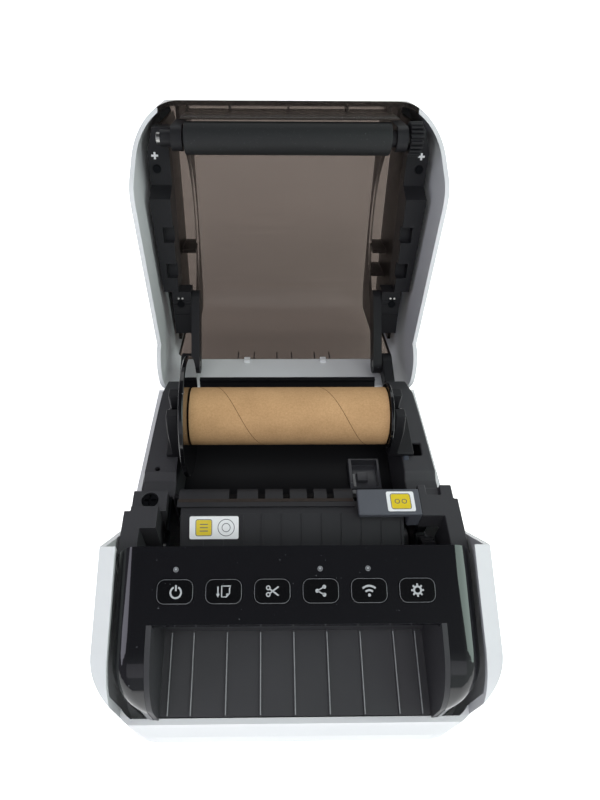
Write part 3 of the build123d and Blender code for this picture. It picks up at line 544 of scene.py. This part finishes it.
def softened(node: str, finishes: Finishes, width_mm: float = 0.5, segments: int = 2,
             finish_name: str | None = None) -> bpy.types.Object:
    """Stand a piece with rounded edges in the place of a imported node.

    Args:
        node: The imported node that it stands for.
        finishes: The printer's materials.
        width_mm: Width of the rounding of its edges.
        segments: Number of facets across the rounding.
        finish_name: The finish, where it is another shade than its slot's.

    Returns:
        The new piece, which rides on the node's body.
    """
    source = frame["nodes"][node]
    mesh = bmesh.new()
    mesh.from_mesh(source.data)
    bmesh.ops.remove_doubles(mesh, verts=mesh.verts, dist=2e-6)
    bmesh.ops.dissolve_limit(mesh, angle_limit=radians(0.6), verts=mesh.verts, edges=mesh.edges)
    piece = new_piece(node + "_shown", mesh)
    round_edges(piece, width_mm, segments)
    slot_name = slot_of(node)
    piece.data.materials.clear()
    piece.data.materials.append(finishes.of(finish_name or slot_name))
    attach(piece, source["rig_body"])
    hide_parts(node)
    log.info("%s: %d faces, edges rounded %.2f mm", piece.name, len(piece.data.polygons), width_mm)
    return piece


def dress(piece: bpy.types.Object, body: str, finish: bpy.types.Material) -> bpy.types.Object:
    """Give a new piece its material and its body.

    Args:
        piece: The object.
        body: The body that it rides on.
        finish: Its material.

    Returns:
        The same object.
    """
    piece.data.materials.clear()
    piece.data.materials.append(finish)
    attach(piece, body)
    log.info("%s rides on %s", piece.name, body)
    return piece


class Relief:
    """Flat shapes that stand a little above a plane: printed ink, labels, worn edges and pads.

    Every shape is drawn in millimetres in the plane's own X and Y, and becomes part of one piece.
    """

    def __init__(self, origin: Point, x_way: Point, y_way: Point) -> None:
        """Set the plane.

        Args:
            origin: A point of the plane, in millimetres.
            x_way: The direction of its X.
            y_way: The direction of its Y.
        """
        across, along = Vector(x_way).normalized(), Vector(y_way).normalized()
        self.place = Matrix((across, along, across.cross(along))).transposed().to_4x4()
        self.place.translation = Vector(origin) * MM
        self.mesh = bmesh.new()

    def spread(self, faces: list[list[tuple[float, float]]], low: float, high: float) -> None:
        """Raise flat faces between two heights above the plane."""
        corners: dict[tuple[float, float], bmesh.types.BMVert] = {}
        made = []
        for face in faces:
            ring = []
            for x, y in face:
                key = (round(x, 5), round(y, 5))
                if key not in corners:
                    corners[key] = self.mesh.verts.new(self.place @ Vector((x * MM, y * MM, low * MM)))
                if corners[key] not in ring:
                    ring.append(corners[key])
            if len(ring) > 2:
                made.append(self.mesh.faces.new(ring))
        raised = bmesh.ops.extrude_face_region(self.mesh, geom=made)["geom"]
        up = self.place.to_3x3() @ Vector((0, 0, (high - low) * MM))
        bmesh.ops.translate(self.mesh, verts=[v for v in raised if isinstance(v, bmesh.types.BMVert)], vec=up)

    def area(self, points: list[tuple[float, float]], low: float, high: float) -> "Relief":
        """Add a filled outline."""
        self.spread([points], low, high)
        return self

    def line(self, points: list[tuple[float, float]], width: float, low: float, high: float,
             closed: bool = False) -> "Relief":
        """Add a line of an even width through the points."""
        count = len(points)
        sides = []
        for i, (x, y) in enumerate(points):
            before = points[i - 1] if i or closed else points[i]
            after = points[(i + 1) % count] if i + 1 < count or closed else points[i]
            way = Vector((after[0] - before[0], after[1] - before[1])).normalized() * width / 2
            sides.append(((x - way.y, y + way.x), (x + way.y, y - way.x)))
        last = count if closed else count - 1
        faces = []
        for i in range(last):
            (a, b), (c, d) = sides[i], sides[(i + 1) % count]
            faces.append([a, b, d, c])
        self.spread(faces, low, high)
        return self

    def arc(self, centre: tuple[float, float], radius: float, start: float, end: float, width: float,
            low: float, high: float) -> "Relief":
        """Add a line along an arc between two angles in degrees."""
        closed = abs(end - start) >= 360
        steps = max(6, int(abs(end - start) / 12))
        count = steps if closed else steps + 1
        angles = [radians(start + (end - start) * i / steps) for i in range(count)]
        points = [(centre[0] + radius * cos(a), centre[1] + radius * sin(a)) for a in angles]
        return self.line(points, width, low, high, closed)

    def disc(self, centre: tuple[float, float], radius: float, low: float, high: float,
             sides: int = 20) -> "Relief":
        """Add a filled circle."""
        angles = [tau * i / sides for i in range(sides)]
        points = [(centre[0] + radius * cos(a), centre[1] + radius * sin(a)) for a in angles]
        return self.area(points, low, high)

    def piece(self, name: str, turn: Matrix | None = None) -> bpy.types.Object:
        """Close the relief and make it an object.

        Args:
            name: The object's name.
            turn: A last transform, such as the lid's opening.

        Returns:
            The new object.
        """
        bmesh.ops.recalc_face_normals(self.mesh, faces=self.mesh.faces)
        if turn is not None:
            bmesh.ops.transform(self.mesh, matrix=turn, verts=self.mesh.verts)
        return new_piece(name, self.mesh)


def round_rectangle(half_x: float, half_y: float, radius: float, steps: int = 5) -> list[tuple[float, float]]:
    """Outline of a rectangle with round corners, about the origin."""
    points = []
    for quarter, (sx, sy) in enumerate(((1, 1), (-1, 1), (-1, -1), (1, -1))):
        for i in range(steps + 1):
            a = radians(90 * quarter + 90 * i / steps)
            x, y = sx * (half_x - radius), sy * (half_y - radius)
            points.append((x + radius * cos(a), y + radius * sin(a)))
    return points


def rounded_block(name: str, low: Point, high: Point, width_mm: float, turn: Matrix | None = None
                  ) -> bpy.types.Object:
    """Make a block between two corners, in millimetres, with rounded edges."""
    mesh = bmesh.new()
    bmesh.ops.create_cube(mesh, size=1.0)
    size = Vector(high) - Vector(low)
    middle = (Vector(high) + Vector(low)) / 2
    bmesh.ops.scale(mesh, vec=size * MM, verts=mesh.verts)
    bmesh.ops.translate(mesh, vec=middle * MM, verts=mesh.verts)
    if turn is not None:
        bmesh.ops.transform(mesh, matrix=turn, verts=mesh.verts)
    piece = new_piece(name, mesh)
    round_edges(piece, width_mm, 2)
    return piece


def side_sheet(name: str, points: list[tuple[float, float]], x0: float, x1: float, width_mm: float,
               turn: Matrix | None = None) -> bpy.types.Object:
    """Make a solid from an outline in (Y, Z), pushed from x0 to x1, with rounded edges."""
    relief = Relief((x0, 0, 0), (0, 1, 0), (0, 0, 1))
    relief.area(points, 0, x1 - x0)
    piece = relief.piece(name, turn)
    round_edges(piece, width_mm, 2)
    return piece


@dataclass
class Hinge:
    """The lid's hinge, read from the frame."""

    y: float = 0.0
    z: float = 0.0
    angle: float = 0.0

    def __post_init__(self) -> None:
        """Read the hinge's place and how far the lid stands open."""
        joint = next(j for j in frame["joints"] if j["name"] == "lid_hinge")
        self.y, self.z = joint["pos_m"][1], joint["pos_m"][2]
        self.angle = radians(joint["range_deg"][0])

    def opened(self) -> Matrix:
        """The transform from the closed lid to the open one."""
        pivot = Vector((0, self.y, self.z))
        return Matrix.Translation(pivot) @ Matrix.Rotation(self.angle, 4, "X") @ Matrix.Translation(-pivot)


# The printer's sub-assemblies


@dataclass
class Casing:
    """White lower case with its feet and screws."""

    finishes: Finishes

    def build(self) -> None:
        """Round the case's edges and dress the feet and screws."""
        softened("lower_case", self.finishes, 0.9, 3)
        softened("rubber_feet", self.finishes, 0.6)
        softened("frame_screws", self.finishes, 0.15)


@dataclass
class ControlPanel:
    """Gloss panel with its keys, printed key signs and lamps."""

    finishes: Finishes
    key_names: tuple[str, ...] = ("power_key", "feed_key", "cut_key", "link_key", "wireless_key", "setup_key")
    key_pitch: float = 20.6
    key_y: float = -64.6
    key_half: tuple[float, float] = (7.7, 5.0)
    key_top: float = 0.35
    lamp_y: float = -56.1
    lamp_columns: tuple[int, ...] = (0, 3, 4)
    ink: float = 0.04
    tilt: float = 20.0
    rear: tuple[float, float] = (-47.0, 88.0)

    def build(self) -> None:
        """Dress the panel, the keys, the lamps and the parts under them."""
        softened("front_panel", self.finishes, 0.35, 2)
        for name in self.key_names:
            softened(name, self.finishes, 0.3, 2)
        softened("lamp_lenses", self.finishes, 0.1)
        softened("key_board", self.finishes, 0.1)
        softened("key_switches", self.finishes, 0.05)
        draw = (self.power, self.feed, self.scissors, self.linked, self.waves, self.cog)
        for number, (name, sign) in enumerate(zip(self.key_names, draw)):
            self.mark(name, number, sign)
        self.lamps()
        self.dust()

    def plane(self, x: float, y: float) -> Relief:
        """A relief on the slanted top of the panel, with its origin at a place in the plan."""
        slope = radians(self.tilt)
        z = self.rear[1] + (y - self.rear[0]) * sin(slope) / cos(slope)
        return Relief((x, y, z), (1, 0, 0), (0, cos(slope), sin(slope)))

    def column(self, number: int) -> float:
        """The X of one key."""
        return (number - (len(self.key_names) - 1) / 2) * self.key_pitch

    def mark(self, name: str, number: int, sign: Callable[[Relief, float, float], None]) -> None:
        """Print one key's sign and paint a pale highlight line round its edge."""
        low, high = self.key_top - self.ink, self.key_top + self.ink
        ink = self.plane(self.column(number), self.key_y)
        sign(ink, low, high)
        dress(ink.piece(name + "_sign"), name, self.finishes.of("key_ink"))
        # A pale line round the key's edge: painted highlight where the light catches its rounded rim.
        edge = self.plane(self.column(number), self.key_y)
        edge.line(round_rectangle(self.key_half[0] - 0.12, self.key_half[1] - 0.12, 3.1), 0.2,
                  low - 0.1, self.key_top - 0.02, True)
        dress(edge.piece(name + "_edge"), name, self.finishes.of("key_edge_highlight"))

    @staticmethod
    def power(ink: Relief, low: float, high: float) -> None:
        """Open ring with a bar through its gap."""
        ink.arc((0.4, -0.3), 2.25, 115, 425, 0.75, low, high)
        ink.line([(0.4, 0.3), (0.4, 2.7)], 0.75, low, high)

    @staticmethod
    def feed(ink: Relief, low: float, high: float) -> None:
        """Arrow beside a page with a folded corner."""
        ink.line([(-2.4, 2.0), (-2.4, -0.9)], 0.6, low, high)
        ink.area([(-3.2, -0.9), (-2.4, -2.4), (-1.6, -0.9)], low, high)
        page = [(-0.8, 2.2), (3.0, 2.2), (2.5, 1.3), (2.5, -0.8), (1.2, -2.2), (-0.8, -2.2)]
        ink.line(page, 0.55, low, high, True)
        ink.area([(1.1, -2.0), (1.1, -0.8), (2.4, -0.8)], low, high)

    @staticmethod
    def scissors(ink: Relief, low: float, high: float) -> None:
        """Pair of scissors."""
        for way in (-1, 1):
            ink.arc((-1.7, 1.35 * way), 0.75, 0, 360, 0.5, low, high)
            ink.line([(-1.1, 0.9 * way), (2.7, -1.8 * way)], 0.62, low, high)

    @staticmethod
    def linked(ink: Relief, low: float, high: float) -> None:
        """Three dots joined by lines."""
        dots = [(-1.5, 0.0), (1.5, 1.6), (1.5, -1.6)]
        for dot in dots:
            ink.disc(dot, 0.8, low, high)
        for dot in dots[1:]:
            ink.line([dots[0], dot], 0.5, low, high)

    @staticmethod
    def waves(ink: Relief, low: float, high: float) -> None:
        """Two arcs over a dot."""
        ink.disc((0, -1.9), 0.65, low, high)
        for radius in (2.3, 4.1):
            ink.arc((0, -2.2), radius, 48, 132, 0.8, low, high)

    @staticmethod
    def cog(ink: Relief, low: float, high: float) -> None:
        """Toothed wheel, as on a settings key."""
        ink.arc((0, 0), 1.5, 0, 360, 0.8, low, high)
        for step in range(8):
            a = tau * step / 8
            ink.line([(1.9 * cos(a), 1.9 * sin(a)), (2.7 * cos(a), 2.7 * sin(a))], 0.75, low, high)

    def lamps(self) -> None:
        """Set a pale core and a dull ring in each lamp."""
        for count, number in enumerate(self.lamp_columns):
            core = self.plane(self.column(number), self.lamp_y)
            core.disc((0, 0.1), 0.5, 0.08, 0.14, 12)
            core.arc((0, 0), 1.0, 0, 360, 0.16, 0.08, 0.13)
            dress(core.piece(f"lamp_core_{count + 1}"), Body.BASE.value,
                  self.finishes.of("lamp_core"))

    def dust(self) -> None:
        """Scatter a few flecks of paper dust over the panel, as the photograph shows."""
        chance = random.Random(7)
        fleck = self.plane(0, self.key_y)
        for _ in range(16):
            x, y = chance.uniform(-66, 66), chance.uniform(-11.5, 17)
            fleck.disc((x, y), chance.choice((0.07, 0.08, 0.1, 0.12, 0.2)), -0.02, 0.03, 6)
        dress(fleck.piece("panel_dust"), Body.BASE.value, self.finishes.of("key_ink"))


@dataclass
class OutputTray:
    """Ribbed tray that the labels leave over."""

    finishes: Finishes
    rib_pitch: float = 15.6
    rib_ends: tuple[Point, Point] = ((0, -104.0, 35.4), (0, -69.0, 42.9))
    outer_rib_x: float = 57.0

    def build(self) -> None:
        """Round the tray's edges and paint pale highlight lines along the tops of its ribs."""
        # The tray takes the paler charcoal finish instead of its slot's black: painted light that lifts its
        # floor.
        softened("output_tray", self.finishes, 0.3, 2, "frame_plastic")
        # Pale lines on the rib tops: painted highlights where the light catches each rib.
        start, end = (Vector(point) for point in self.rib_ends)
        tops = Relief(tuple(start), (1, 0, 0), tuple(end - start))
        for x in [i * self.rib_pitch for i in range(-3, 4)] + [-self.outer_rib_x, self.outer_rib_x]:
            tops.line([(x, 0.4), (x, (end - start).length - 1.0)], 0.5, -0.05, 0.05)
        dress(tops.piece("tray_rib_highlights"), Body.BASE.value,
              self.finishes.of("rib_top_highlight"))


@dataclass
class RollBay:
    """Curved bay, its flanks, cradles, sensor pocket and hinge."""

    finishes: Finishes
    roll: tuple[float, float] = (28.0, 81.5)
    trough: float = 52.0
    strip_x: tuple[float, float] = (36.2, 39.0)
    catch_outline: tuple[tuple[float, float], ...] = ((11.5, 60.5), (18.5, 60.5), (17.0, 63.5), (13.0, 62.2))
    catch_x: tuple[float, float] = (60.6, 63.4)
    rounded: tuple[tuple[str, float], ...] = (
        ("bay_floor", 0.5), ("left_flank", 0.8), ("right_flank", 0.8), ("left_cradle", 0.6),
        ("right_cradle", 0.6), ("hinge_ears", 0.5), ("hinge_pins", 0.3), ("media_sensor", 0.3),
    )

    # The bay floor takes a darker black than the other black parts: painted shade in the hollow of the bay.
    shades: tuple[tuple[str, str], ...] = (
        ("left_flank", "frame_plastic"), ("right_flank", "frame_plastic"), ("bay_floor", "bay_shaded_plastic"),
    )

    def build(self) -> None:
        """Round the edges of each part of the bay, then add its small fittings."""
        for node, width in self.rounded:
            softened(node, self.finishes, width, 2, dict(self.shades).get(node))
        self.sensor_strip()
        catch = side_sheet("flank_catch", list(self.catch_outline), *self.catch_x, 0.4)
        dress(catch, Body.BASE.value, self.finishes.of("blue_black"))

    def sensor_strip(self) -> None:
        """Lay the frosted strip that runs down the trough from the sensor pocket to the comb."""
        outer, inner = [], []
        for step in range(13):
            a = radians(200 + step * 5.4)
            y, z = self.roll[0] + self.trough * cos(a), self.roll[1] + self.trough * sin(a)
            outer.append((y, z))
            inner.append((y - 0.8 * cos(a), z - 0.8 * sin(a)))
        relief = Relief((self.strip_x[0], 0, 0), (0, 1, 0), (0, 0, 1))
        faces = [[outer[i], outer[i + 1], inner[i + 1], inner[i]] for i in range(len(outer) - 1)]
        relief.spread(faces, 0, self.strip_x[1] - self.strip_x[0])
        strip = relief.piece("sensor_strip")
        round_edges(strip, 0.15, 1)
        dress(strip, Body.BASE.value, self.finishes.of("clear_guide"))


@dataclass
class SupplySpool:
    """Spool shaft with its two discs and the wound core."""

    finishes: Finishes
    roll: tuple[float, float] = (28.0, 81.5)
    core_radius: float = 15.0
    core_half: float = 49.0
    seam_pitch: float = 52.8
    seam_x: float = -39.7

    def build(self) -> None:
        """Dress the shaft, discs and core."""
        softened("spool_shaft", self.finishes, 0.4)
        softened("left_flange", self.finishes, 0.5)
        softened("right_flange", self.finishes, 0.5)
        softened("roll_core", self.finishes, 0.3)
        self.seam("core_seam", 0.0, 0.32, 0.03, "seam_paper")
        self.seam("core_ply_edge", 0.5, 0.5, 0.06, "kraft_board")

    def seam(self, name: str, lead: float, width: float, rise: float, finish: str) -> None:
        """Wind one helical line round the core.

        Args:
            name: The piece's name.
            lead: How far it lies beside the seam, in millimetres along X.
            width: Its width along X.
            rise: How far it stands above the paper.
            finish: The name of its finish.
        """
        mesh = bmesh.new()
        steps = 60
        turns = (2 * self.core_half + self.seam_pitch) / self.seam_pitch
        rows = []
        for i in range(int(steps * turns) + 1):
            a = radians(35) + tau * i / steps
            x = self.seam_x - self.seam_pitch + lead + self.seam_pitch * i / steps
            if abs(x) > self.core_half - 0.4:
                rows.append(None)
                continue
            row = []
            for dx, radius in ((0, -0.1), (0, rise), (width, rise), (width, -0.1)):
                r = self.core_radius + radius
                point = Vector((x + dx, self.roll[0] + r * cos(a), self.roll[1] + r * sin(a)))
                row.append(mesh.verts.new(point * MM))
            rows.append(row)
        for before, after in zip(rows, rows[1:]):
            if before and after:
                for j in range(4):
                    k = (j + 1) % 4
                    mesh.faces.new((before[j], before[k], after[k], after[j]))
        bmesh.ops.recalc_face_normals(mesh, faces=mesh.faces)
        dress(new_piece(name, mesh), Body.CORE.value, self.finishes.of(finish))


@dataclass
class MediaPath:
    """Guides, print head, cutter, drive and boards."""

    finishes: Finishes
    rounded: tuple[tuple[str, float], ...] = (
        ("media_guide", 0.2), ("comb_plate", 0.4), ("print_head", 0.2), ("heat_sink", 0.2),
        ("head_springs", 0.0), ("head_carrier", 0.2), ("side_plates", 0.3), ("left_block", 0.6),
        ("right_block", 0.6), ("gear_cover", 0.6), ("idler_gear", 0.08), ("idler_shaft", 0.2),
        ("motor_pinion", 0.08), ("drive_motor", 0.6), ("fixed_blade", 0.15), ("moving_blade", 0.1),
        ("cutter_pinion", 0.08), ("cutter_motor", 0.4), ("main_board", 0.1), ("power_inlet", 0.3),
        ("usb_port", 0.2), ("network_port", 0.3),
    )

    shades: tuple[tuple[str, str], ...] = (
        ("left_block", "frame_plastic"), ("right_block", "frame_plastic"), ("comb_plate", "comb_plastic"),
        ("media_guide", "comb_plastic"), ("gear_cover", "cover_plastic"),
    )

    def build(self) -> None:
        """Round the edges of each inner part, then add the labels and the felt strip."""
        for node, width in self.rounded:
            softened(node, self.finishes, width, 2, dict(self.shades).get(node))
        self.left_label()
        self.right_label()
        felt = rounded_block("felt_strip", (-56.5, -14.4, 66.9), (30.5, -12.6, 67.15), 0.05)
        dress(felt, Body.BASE.value, self.finishes.of("brown_felt"))

    def left_label(self) -> None:
        """Stick a plain two-colour label across the guide's ribs."""
        place = ((-38.45, -26.1, 62.75), (1, 0, 0), (0, 1, 0.6077))
        film = Relief(*place).area(round_rectangle(12.0, 5.5, 0.9), 0.02, 0.12).piece("left_label")
        dress(film, Body.BASE.value, self.finishes.of("label_film"))
        yellow = Relief(*place)
        yellow.area([(x - 5.0, y) for x, y in round_rectangle(3.7, 3.7, 0.8)], 0.12, 0.14)
        dress(yellow.piece("left_label_yellow"), Body.BASE.value,
              self.finishes.of("yellow_ink"))
        grey = Relief(*place)
        grey.line([(x - 5.0, y) for x, y in round_rectangle(3.9, 3.9, 0.9)], 0.35, 0.12, 0.15, True)
        for y in (-1.6, 0.0, 1.6):
            grey.line([(-7.0, y), (-3.0, y)], 0.45, 0.14, 0.16)
        grey.arc((5.9, 0), 4.0, 0, 360, 0.35, 0.12, 0.15)
        grey.arc((5.9, 0), 2.0, 0, 360, 0.35, 0.12, 0.15)
        dress(grey.piece("left_label_grey"), Body.BASE.value, self.finishes.of("grey_ink"))

    def right_label(self) -> None:
        """Stick a plain two-colour label on the gear cover."""
        place = ((52.4, -18.25, 74.0), (1, 0, 0), (0, 1, 0))
        film = Relief(*place).area(round_rectangle(6.7, 5.35, 0.9), 0.0, 0.1).piece("right_label")
        dress(film, Body.BASE.value, self.finishes.of("label_film"))
        yellow = Relief(*place).area(round_rectangle(4.6, 3.9, 1.0), 0.1, 0.12).piece("right_label_yellow")
        dress(yellow, Body.BASE.value, self.finishes.of("yellow_ink"))
        grey = Relief(*place)
        grey.line(round_rectangle(4.8, 4.1, 1.1), 0.35, 0.1, 0.13, True)
        for x in (-1.7, 1.7):
            grey.arc((x, 0), 1.1, 0, 360, 0.4, 0.12, 0.14)
        dress(grey.piece("right_label_grey"), Body.BASE.value, self.finishes.of("grey_ink"))


@dataclass
class Lid:
    """White lid shell, smoked window, rails, arms and the platen roller."""

    finishes: Finishes
    tick_x: tuple[float, ...] = (-32.5, -21.4, -5.5, 4.8, 20.7, 31.1)
    wall_x: tuple[float, float] = (60.5, 73.4)
    bar_x: tuple[float, float] = (63.1, 70.9)
    bar_y: tuple[float, ...] = (46.0, 63.0, 86.0, 88.0)
    bar_thick: float = 2.5
    bar_z: tuple[float, float] = (125.5, 147.5)
    rounded: tuple[tuple[str, float, int], ...] = (
        ("lid_shell", 0.9, 3), ("left_rail", 0.6, 2),
        ("right_rail", 0.6, 2), ("left_arm", 0.5, 2), ("right_arm", 0.5, 2), ("platen_bushes", 0.25, 2),
        ("lid_screws", 0.2, 2), ("platen_rubber", 0.5, 2), ("platen_shaft", 0.3, 2), ("platen_gear", 0.1, 1),
    )

    def build(self) -> None:
        """Round the edges of each part of the lid, then add its marks, ticks and latch details."""
        for node, width, segments in self.rounded:
            softened(node, self.finishes, width, segments)
        softened("roller_guard", self.finishes, 0.2, 2, "smoked_guard")
        turn = Hinge().opened()
        self.window(turn)
        for side in Side:
            self.rail_mark(side, turn)
            self.latch(side, turn)
        self.ticks(turn)

    def window(self, turn: Matrix) -> None:
        """Round the window and darken its walls and cross bars, which are seen through their depth."""
        pane = softened("lid_window", self.finishes, 0.4, 2)
        pane.data.materials.append(self.finishes.of("smoked_wall"))
        closed = turn.inverted()
        for face in pane.data.polygons:
            way = closed.to_3x3() @ face.normal
            place = closed @ face.center / MM
            wall = abs(way.x) > 0.7 and self.wall_x[0] < abs(place.x) < self.wall_x[1]
            bar = self.bar_x[0] < abs(place.x) < self.bar_x[1] and self.is_bar(place)
            face.material_index = int(wall or bar)

    def is_bar(self, place: Vector) -> bool:
        """Whether a place of the closed lid lies on a cross bar, and not on the roof above it."""
        across = any(y - 0.1 < place.y < y + self.bar_thick + 0.1 for y in self.bar_y)
        return across and self.bar_z[0] < place.z < self.bar_z[1]

    def rail_mark(self, side: Side, turn: Matrix) -> None:
        """Inlay the pale cross at the front of a rail."""
        mark = Relief((side.value * 75.0, -25.0, 77.6), (1, 0, 0), (0, -1, 0))
        mark.line([(-1.9, 0), (1.9, 0)], 1.1, -0.1, 0.12)
        mark.line([(0, -1.9), (0, 1.9)], 1.1, -0.1, 0.12)
        dress(mark.piece(f"{side.name.lower()}_rail_mark", turn), Body.LID.value,
              self.finishes.of("label_film"))

    def latch(self, side: Side, turn: Matrix) -> None:
        """Add the two bright studs and the ribs of a latch block."""
        name = side.name.lower()
        studs = Relief((side.value * 66.1, 56.3, 66.5), (1, 0, 0), (0, -1, 0))
        for x in (-1.2, 1.2):
            studs.disc((x, 0), 0.65, -0.1, 0.3, 12)
        dress(studs.piece(name + "_latch_studs", turn), Body.LID.value,
              self.finishes.of("bright_steel"))
        ribs = Relief((side.value * 65.2, 62.0, 66.5), (1, 0, 0), (0, -1, 0))
        for y in (-5.5, 1.0, 3.6):
            ribs.line([(-5.2, y), (5.2, y)], 0.9, -0.1, 0.5)
        dress(ribs.piece(name + "_latch_ribs", turn), Body.LID.value,
              self.finishes.of("black_plastic"))

    def ticks(self, turn: Matrix) -> None:
        """Stand the short ticks along the window's rear edge."""
        marks = Relief((0, 107.5, 85.0), (-1, 0, 0), (0, 0, 1))
        for x in self.tick_x:
            marks.line([(-x, -4.6), (-x, 4.6)], 0.7, -0.1, 0.8)
        dress(marks.piece("window_ticks", turn), Body.LID.value,
              self.finishes.of("black_plastic"))


@dataclass
class Studio:
    """Pale floor, soft lights and the camera that looks down on the open printer."""

    focal_px: float = 583.6
    camera_mm: Point = (-12.09, -153.64, 326.5)
    yaw: float = 1.43
    pitch: float = 51.88
    roll: float = 0.99
    shift_px: float = 23.4
    sensor_mm: float = 36.0
    left_air: str = "807e87"
    right_air: str = "cdd6d3"
    floor_glow: float = 0.72

    def build(self) -> None:
        """Make the floor, the lights, the world and the camera, and keep the plain film response."""
        bpy.context.scene.view_settings.view_transform = "Standard"
        self.floor()
        self.lights()
        self.world()
        self.camera()

    def floor(self) -> None:
        """Lay a wide pale floor that isn't part of the printer."""
        mesh = bmesh.new()
        bmesh.ops.create_grid(mesh, x_segments=1, y_segments=1, size=6.0)
        plane = new_piece("studio_floor", mesh)
        material, tree, shader = new_material("matte_white_card")
        shader.inputs["Base Color"].default_value = linear("f4f4f4")
        shader.inputs["Roughness"].default_value = 0.9
        shader.inputs["Emission Color"].default_value = linear("ffffff")
        shader.inputs["Emission Strength"].default_value = self.floor_glow
        plane.data.materials.append(material)

    def softbox(self, name: str, place: Point, aim: Point, size: tuple[float, float], power: float,
                colour: str, mirrored: bool = True, lit: bool = True) -> None:
        """Hang one rectangular softbox.

        Args:
            name: Its name.
            place: Its centre, in metres.
            aim: The point that it faces.
            size: Its width and height, in metres.
            power: Its power in watts.
            colour: Its sRGB colour.
            mirrored: Whether it shows in glossy surfaces.
            lit: Whether it lights matte surfaces.
        """
        data = bpy.data.lights.new(name, "AREA")
        data.shape = "RECTANGLE"
        data.size, data.size_y = size
        data.energy = power
        data.color = linear(colour)[:3]
        lamp = bpy.data.objects.new(name, data)
        lamp.location = place
        lamp.visible_glossy = mirrored
        lamp.visible_diffuse = lit
        direction = Vector(aim) - Vector(place)
        lamp.rotation_euler = direction.to_track_quat("-Z", "Y").to_euler()
        bpy.context.scene.collection.objects.link(lamp)

    def lights(self) -> None:
        """Hang side, rear, front and overhead softboxes, and a strip for the panel's edge.

        The right and overhead ones don't show in gloss. The strip shows only in gloss: it draws the pale
        band on the panel's rounded edge, and greys the panel's top when that is seen from the left.
        """
        self.softbox("left_softbox", (-1.1, -0.45, 0.85), (0, 0, 0.05), (0.4, 0.7), 2.5, "f0eeff")
        self.softbox("right_softbox", (1.1, 0.0, 0.9), (0, 0, 0.05), (0.5, 1.2), 6.0, "f4fff8", False)
        self.softbox("rear_softbox", (0.0, 1.3, 1.5), (0, 0, 0.05), (1.6, 0.7), 4.0, "ffffff")
        self.softbox("front_softbox", (0.0, -1.4, 1.0), (0, 0, 0.05), (1.6, 0.7), 1.5, "f6f2ff")
        self.softbox("overhead_softbox", (0.0, -0.6, 1.3), (0, 0.05, 0.05), (1.0, 0.8), 12.0, "ffffff", False)
        self.softbox("edge_strip", (1.0, -0.3, 0.78), (0.07, -0.05, 0.08), (0.5, 1.15), 7.0, "e6fff4",
                     lit=False)

    def world(self) -> None:
        """Surround the set with soft light, pale green on the right and dim on the left and overhead."""
        world = bpy.data.worlds.new("studio_air")
        world.use_nodes = True
        tree = world.node_tree
        way = add_node(tree, "ShaderNodeTexCoord").outputs["Generated"]
        parts = add_node(tree, "ShaderNodeSeparateXYZ", links={0: way})
        share = add_node(tree, "ShaderNodeMapRange", {"From Min": -0.5, "From Max": 0.5},
                         {"Value": parts.outputs["X"]})
        tone = add_node(tree, "ShaderNodeMix",
                        {"data_type": "RGBA", 6: linear(self.left_air), 7: linear(self.right_air)},
                        {0: share.outputs["Result"]})
        level = add_node(tree, "ShaderNodeMapRange",
                         {"From Min": 0.5, "From Max": 0.93, "To Min": 1.0, "To Max": 0.1},
                         {"Value": parts.outputs["Z"]})
        background = tree.nodes["Background"]
        tree.links.new(tone.outputs[2], background.inputs["Color"])
        tree.links.new(level.outputs["Result"], background.inputs["Strength"])
        bpy.context.scene.world = world

    def camera(self) -> None:
        """Set up the camera at the photograph's viewing angle."""
        yaw, pitch, roll = radians(self.yaw), radians(self.pitch), radians(self.roll)
        ahead = Vector((sin(yaw) * cos(pitch), cos(yaw) * cos(pitch), -sin(pitch)))
        right = Vector((cos(yaw), -sin(yaw), 0))
        up = right.cross(ahead)
        tilted_right = right * cos(roll) + up * sin(roll)
        tilted_up = up * cos(roll) - right * sin(roll)
        turn = Matrix((tilted_right, tilted_up, -ahead)).transposed().to_4x4()
        data = bpy.data.cameras.new("studio_camera")
        data.sensor_width = self.sensor_mm
        data.lens = self.focal_px / IMAGE_HEIGHT * self.sensor_mm
        data.shift_x = self.shift_px / IMAGE_HEIGHT
        data.clip_start = 0.01
        camera = bpy.data.objects.new("studio_camera", data)
        camera.matrix_world = Matrix.Translation(Vector(self.camera_mm) * MM) @ turn
        bpy.context.scene.collection.objects.link(camera)
        bpy.context.scene.camera = camera


def main() -> None:
    """Build the printer piece by piece, then the studio."""
    logging.basicConfig(level=logging.INFO, format="%(name)s: %(message)s")
    finishes = Finishes()
    Studio().build()
    for assembly in (Casing(finishes), ControlPanel(finishes), OutputTray(finishes), RollBay(finishes),
                     SupplySpool(finishes), MediaPath(finishes), Lid(finishes)):
        assembly.build()
        log.info("%s is built", type(assembly).__name__)


if __name__ == "__main__":
    main()
    bpy.context.view_layer.update()
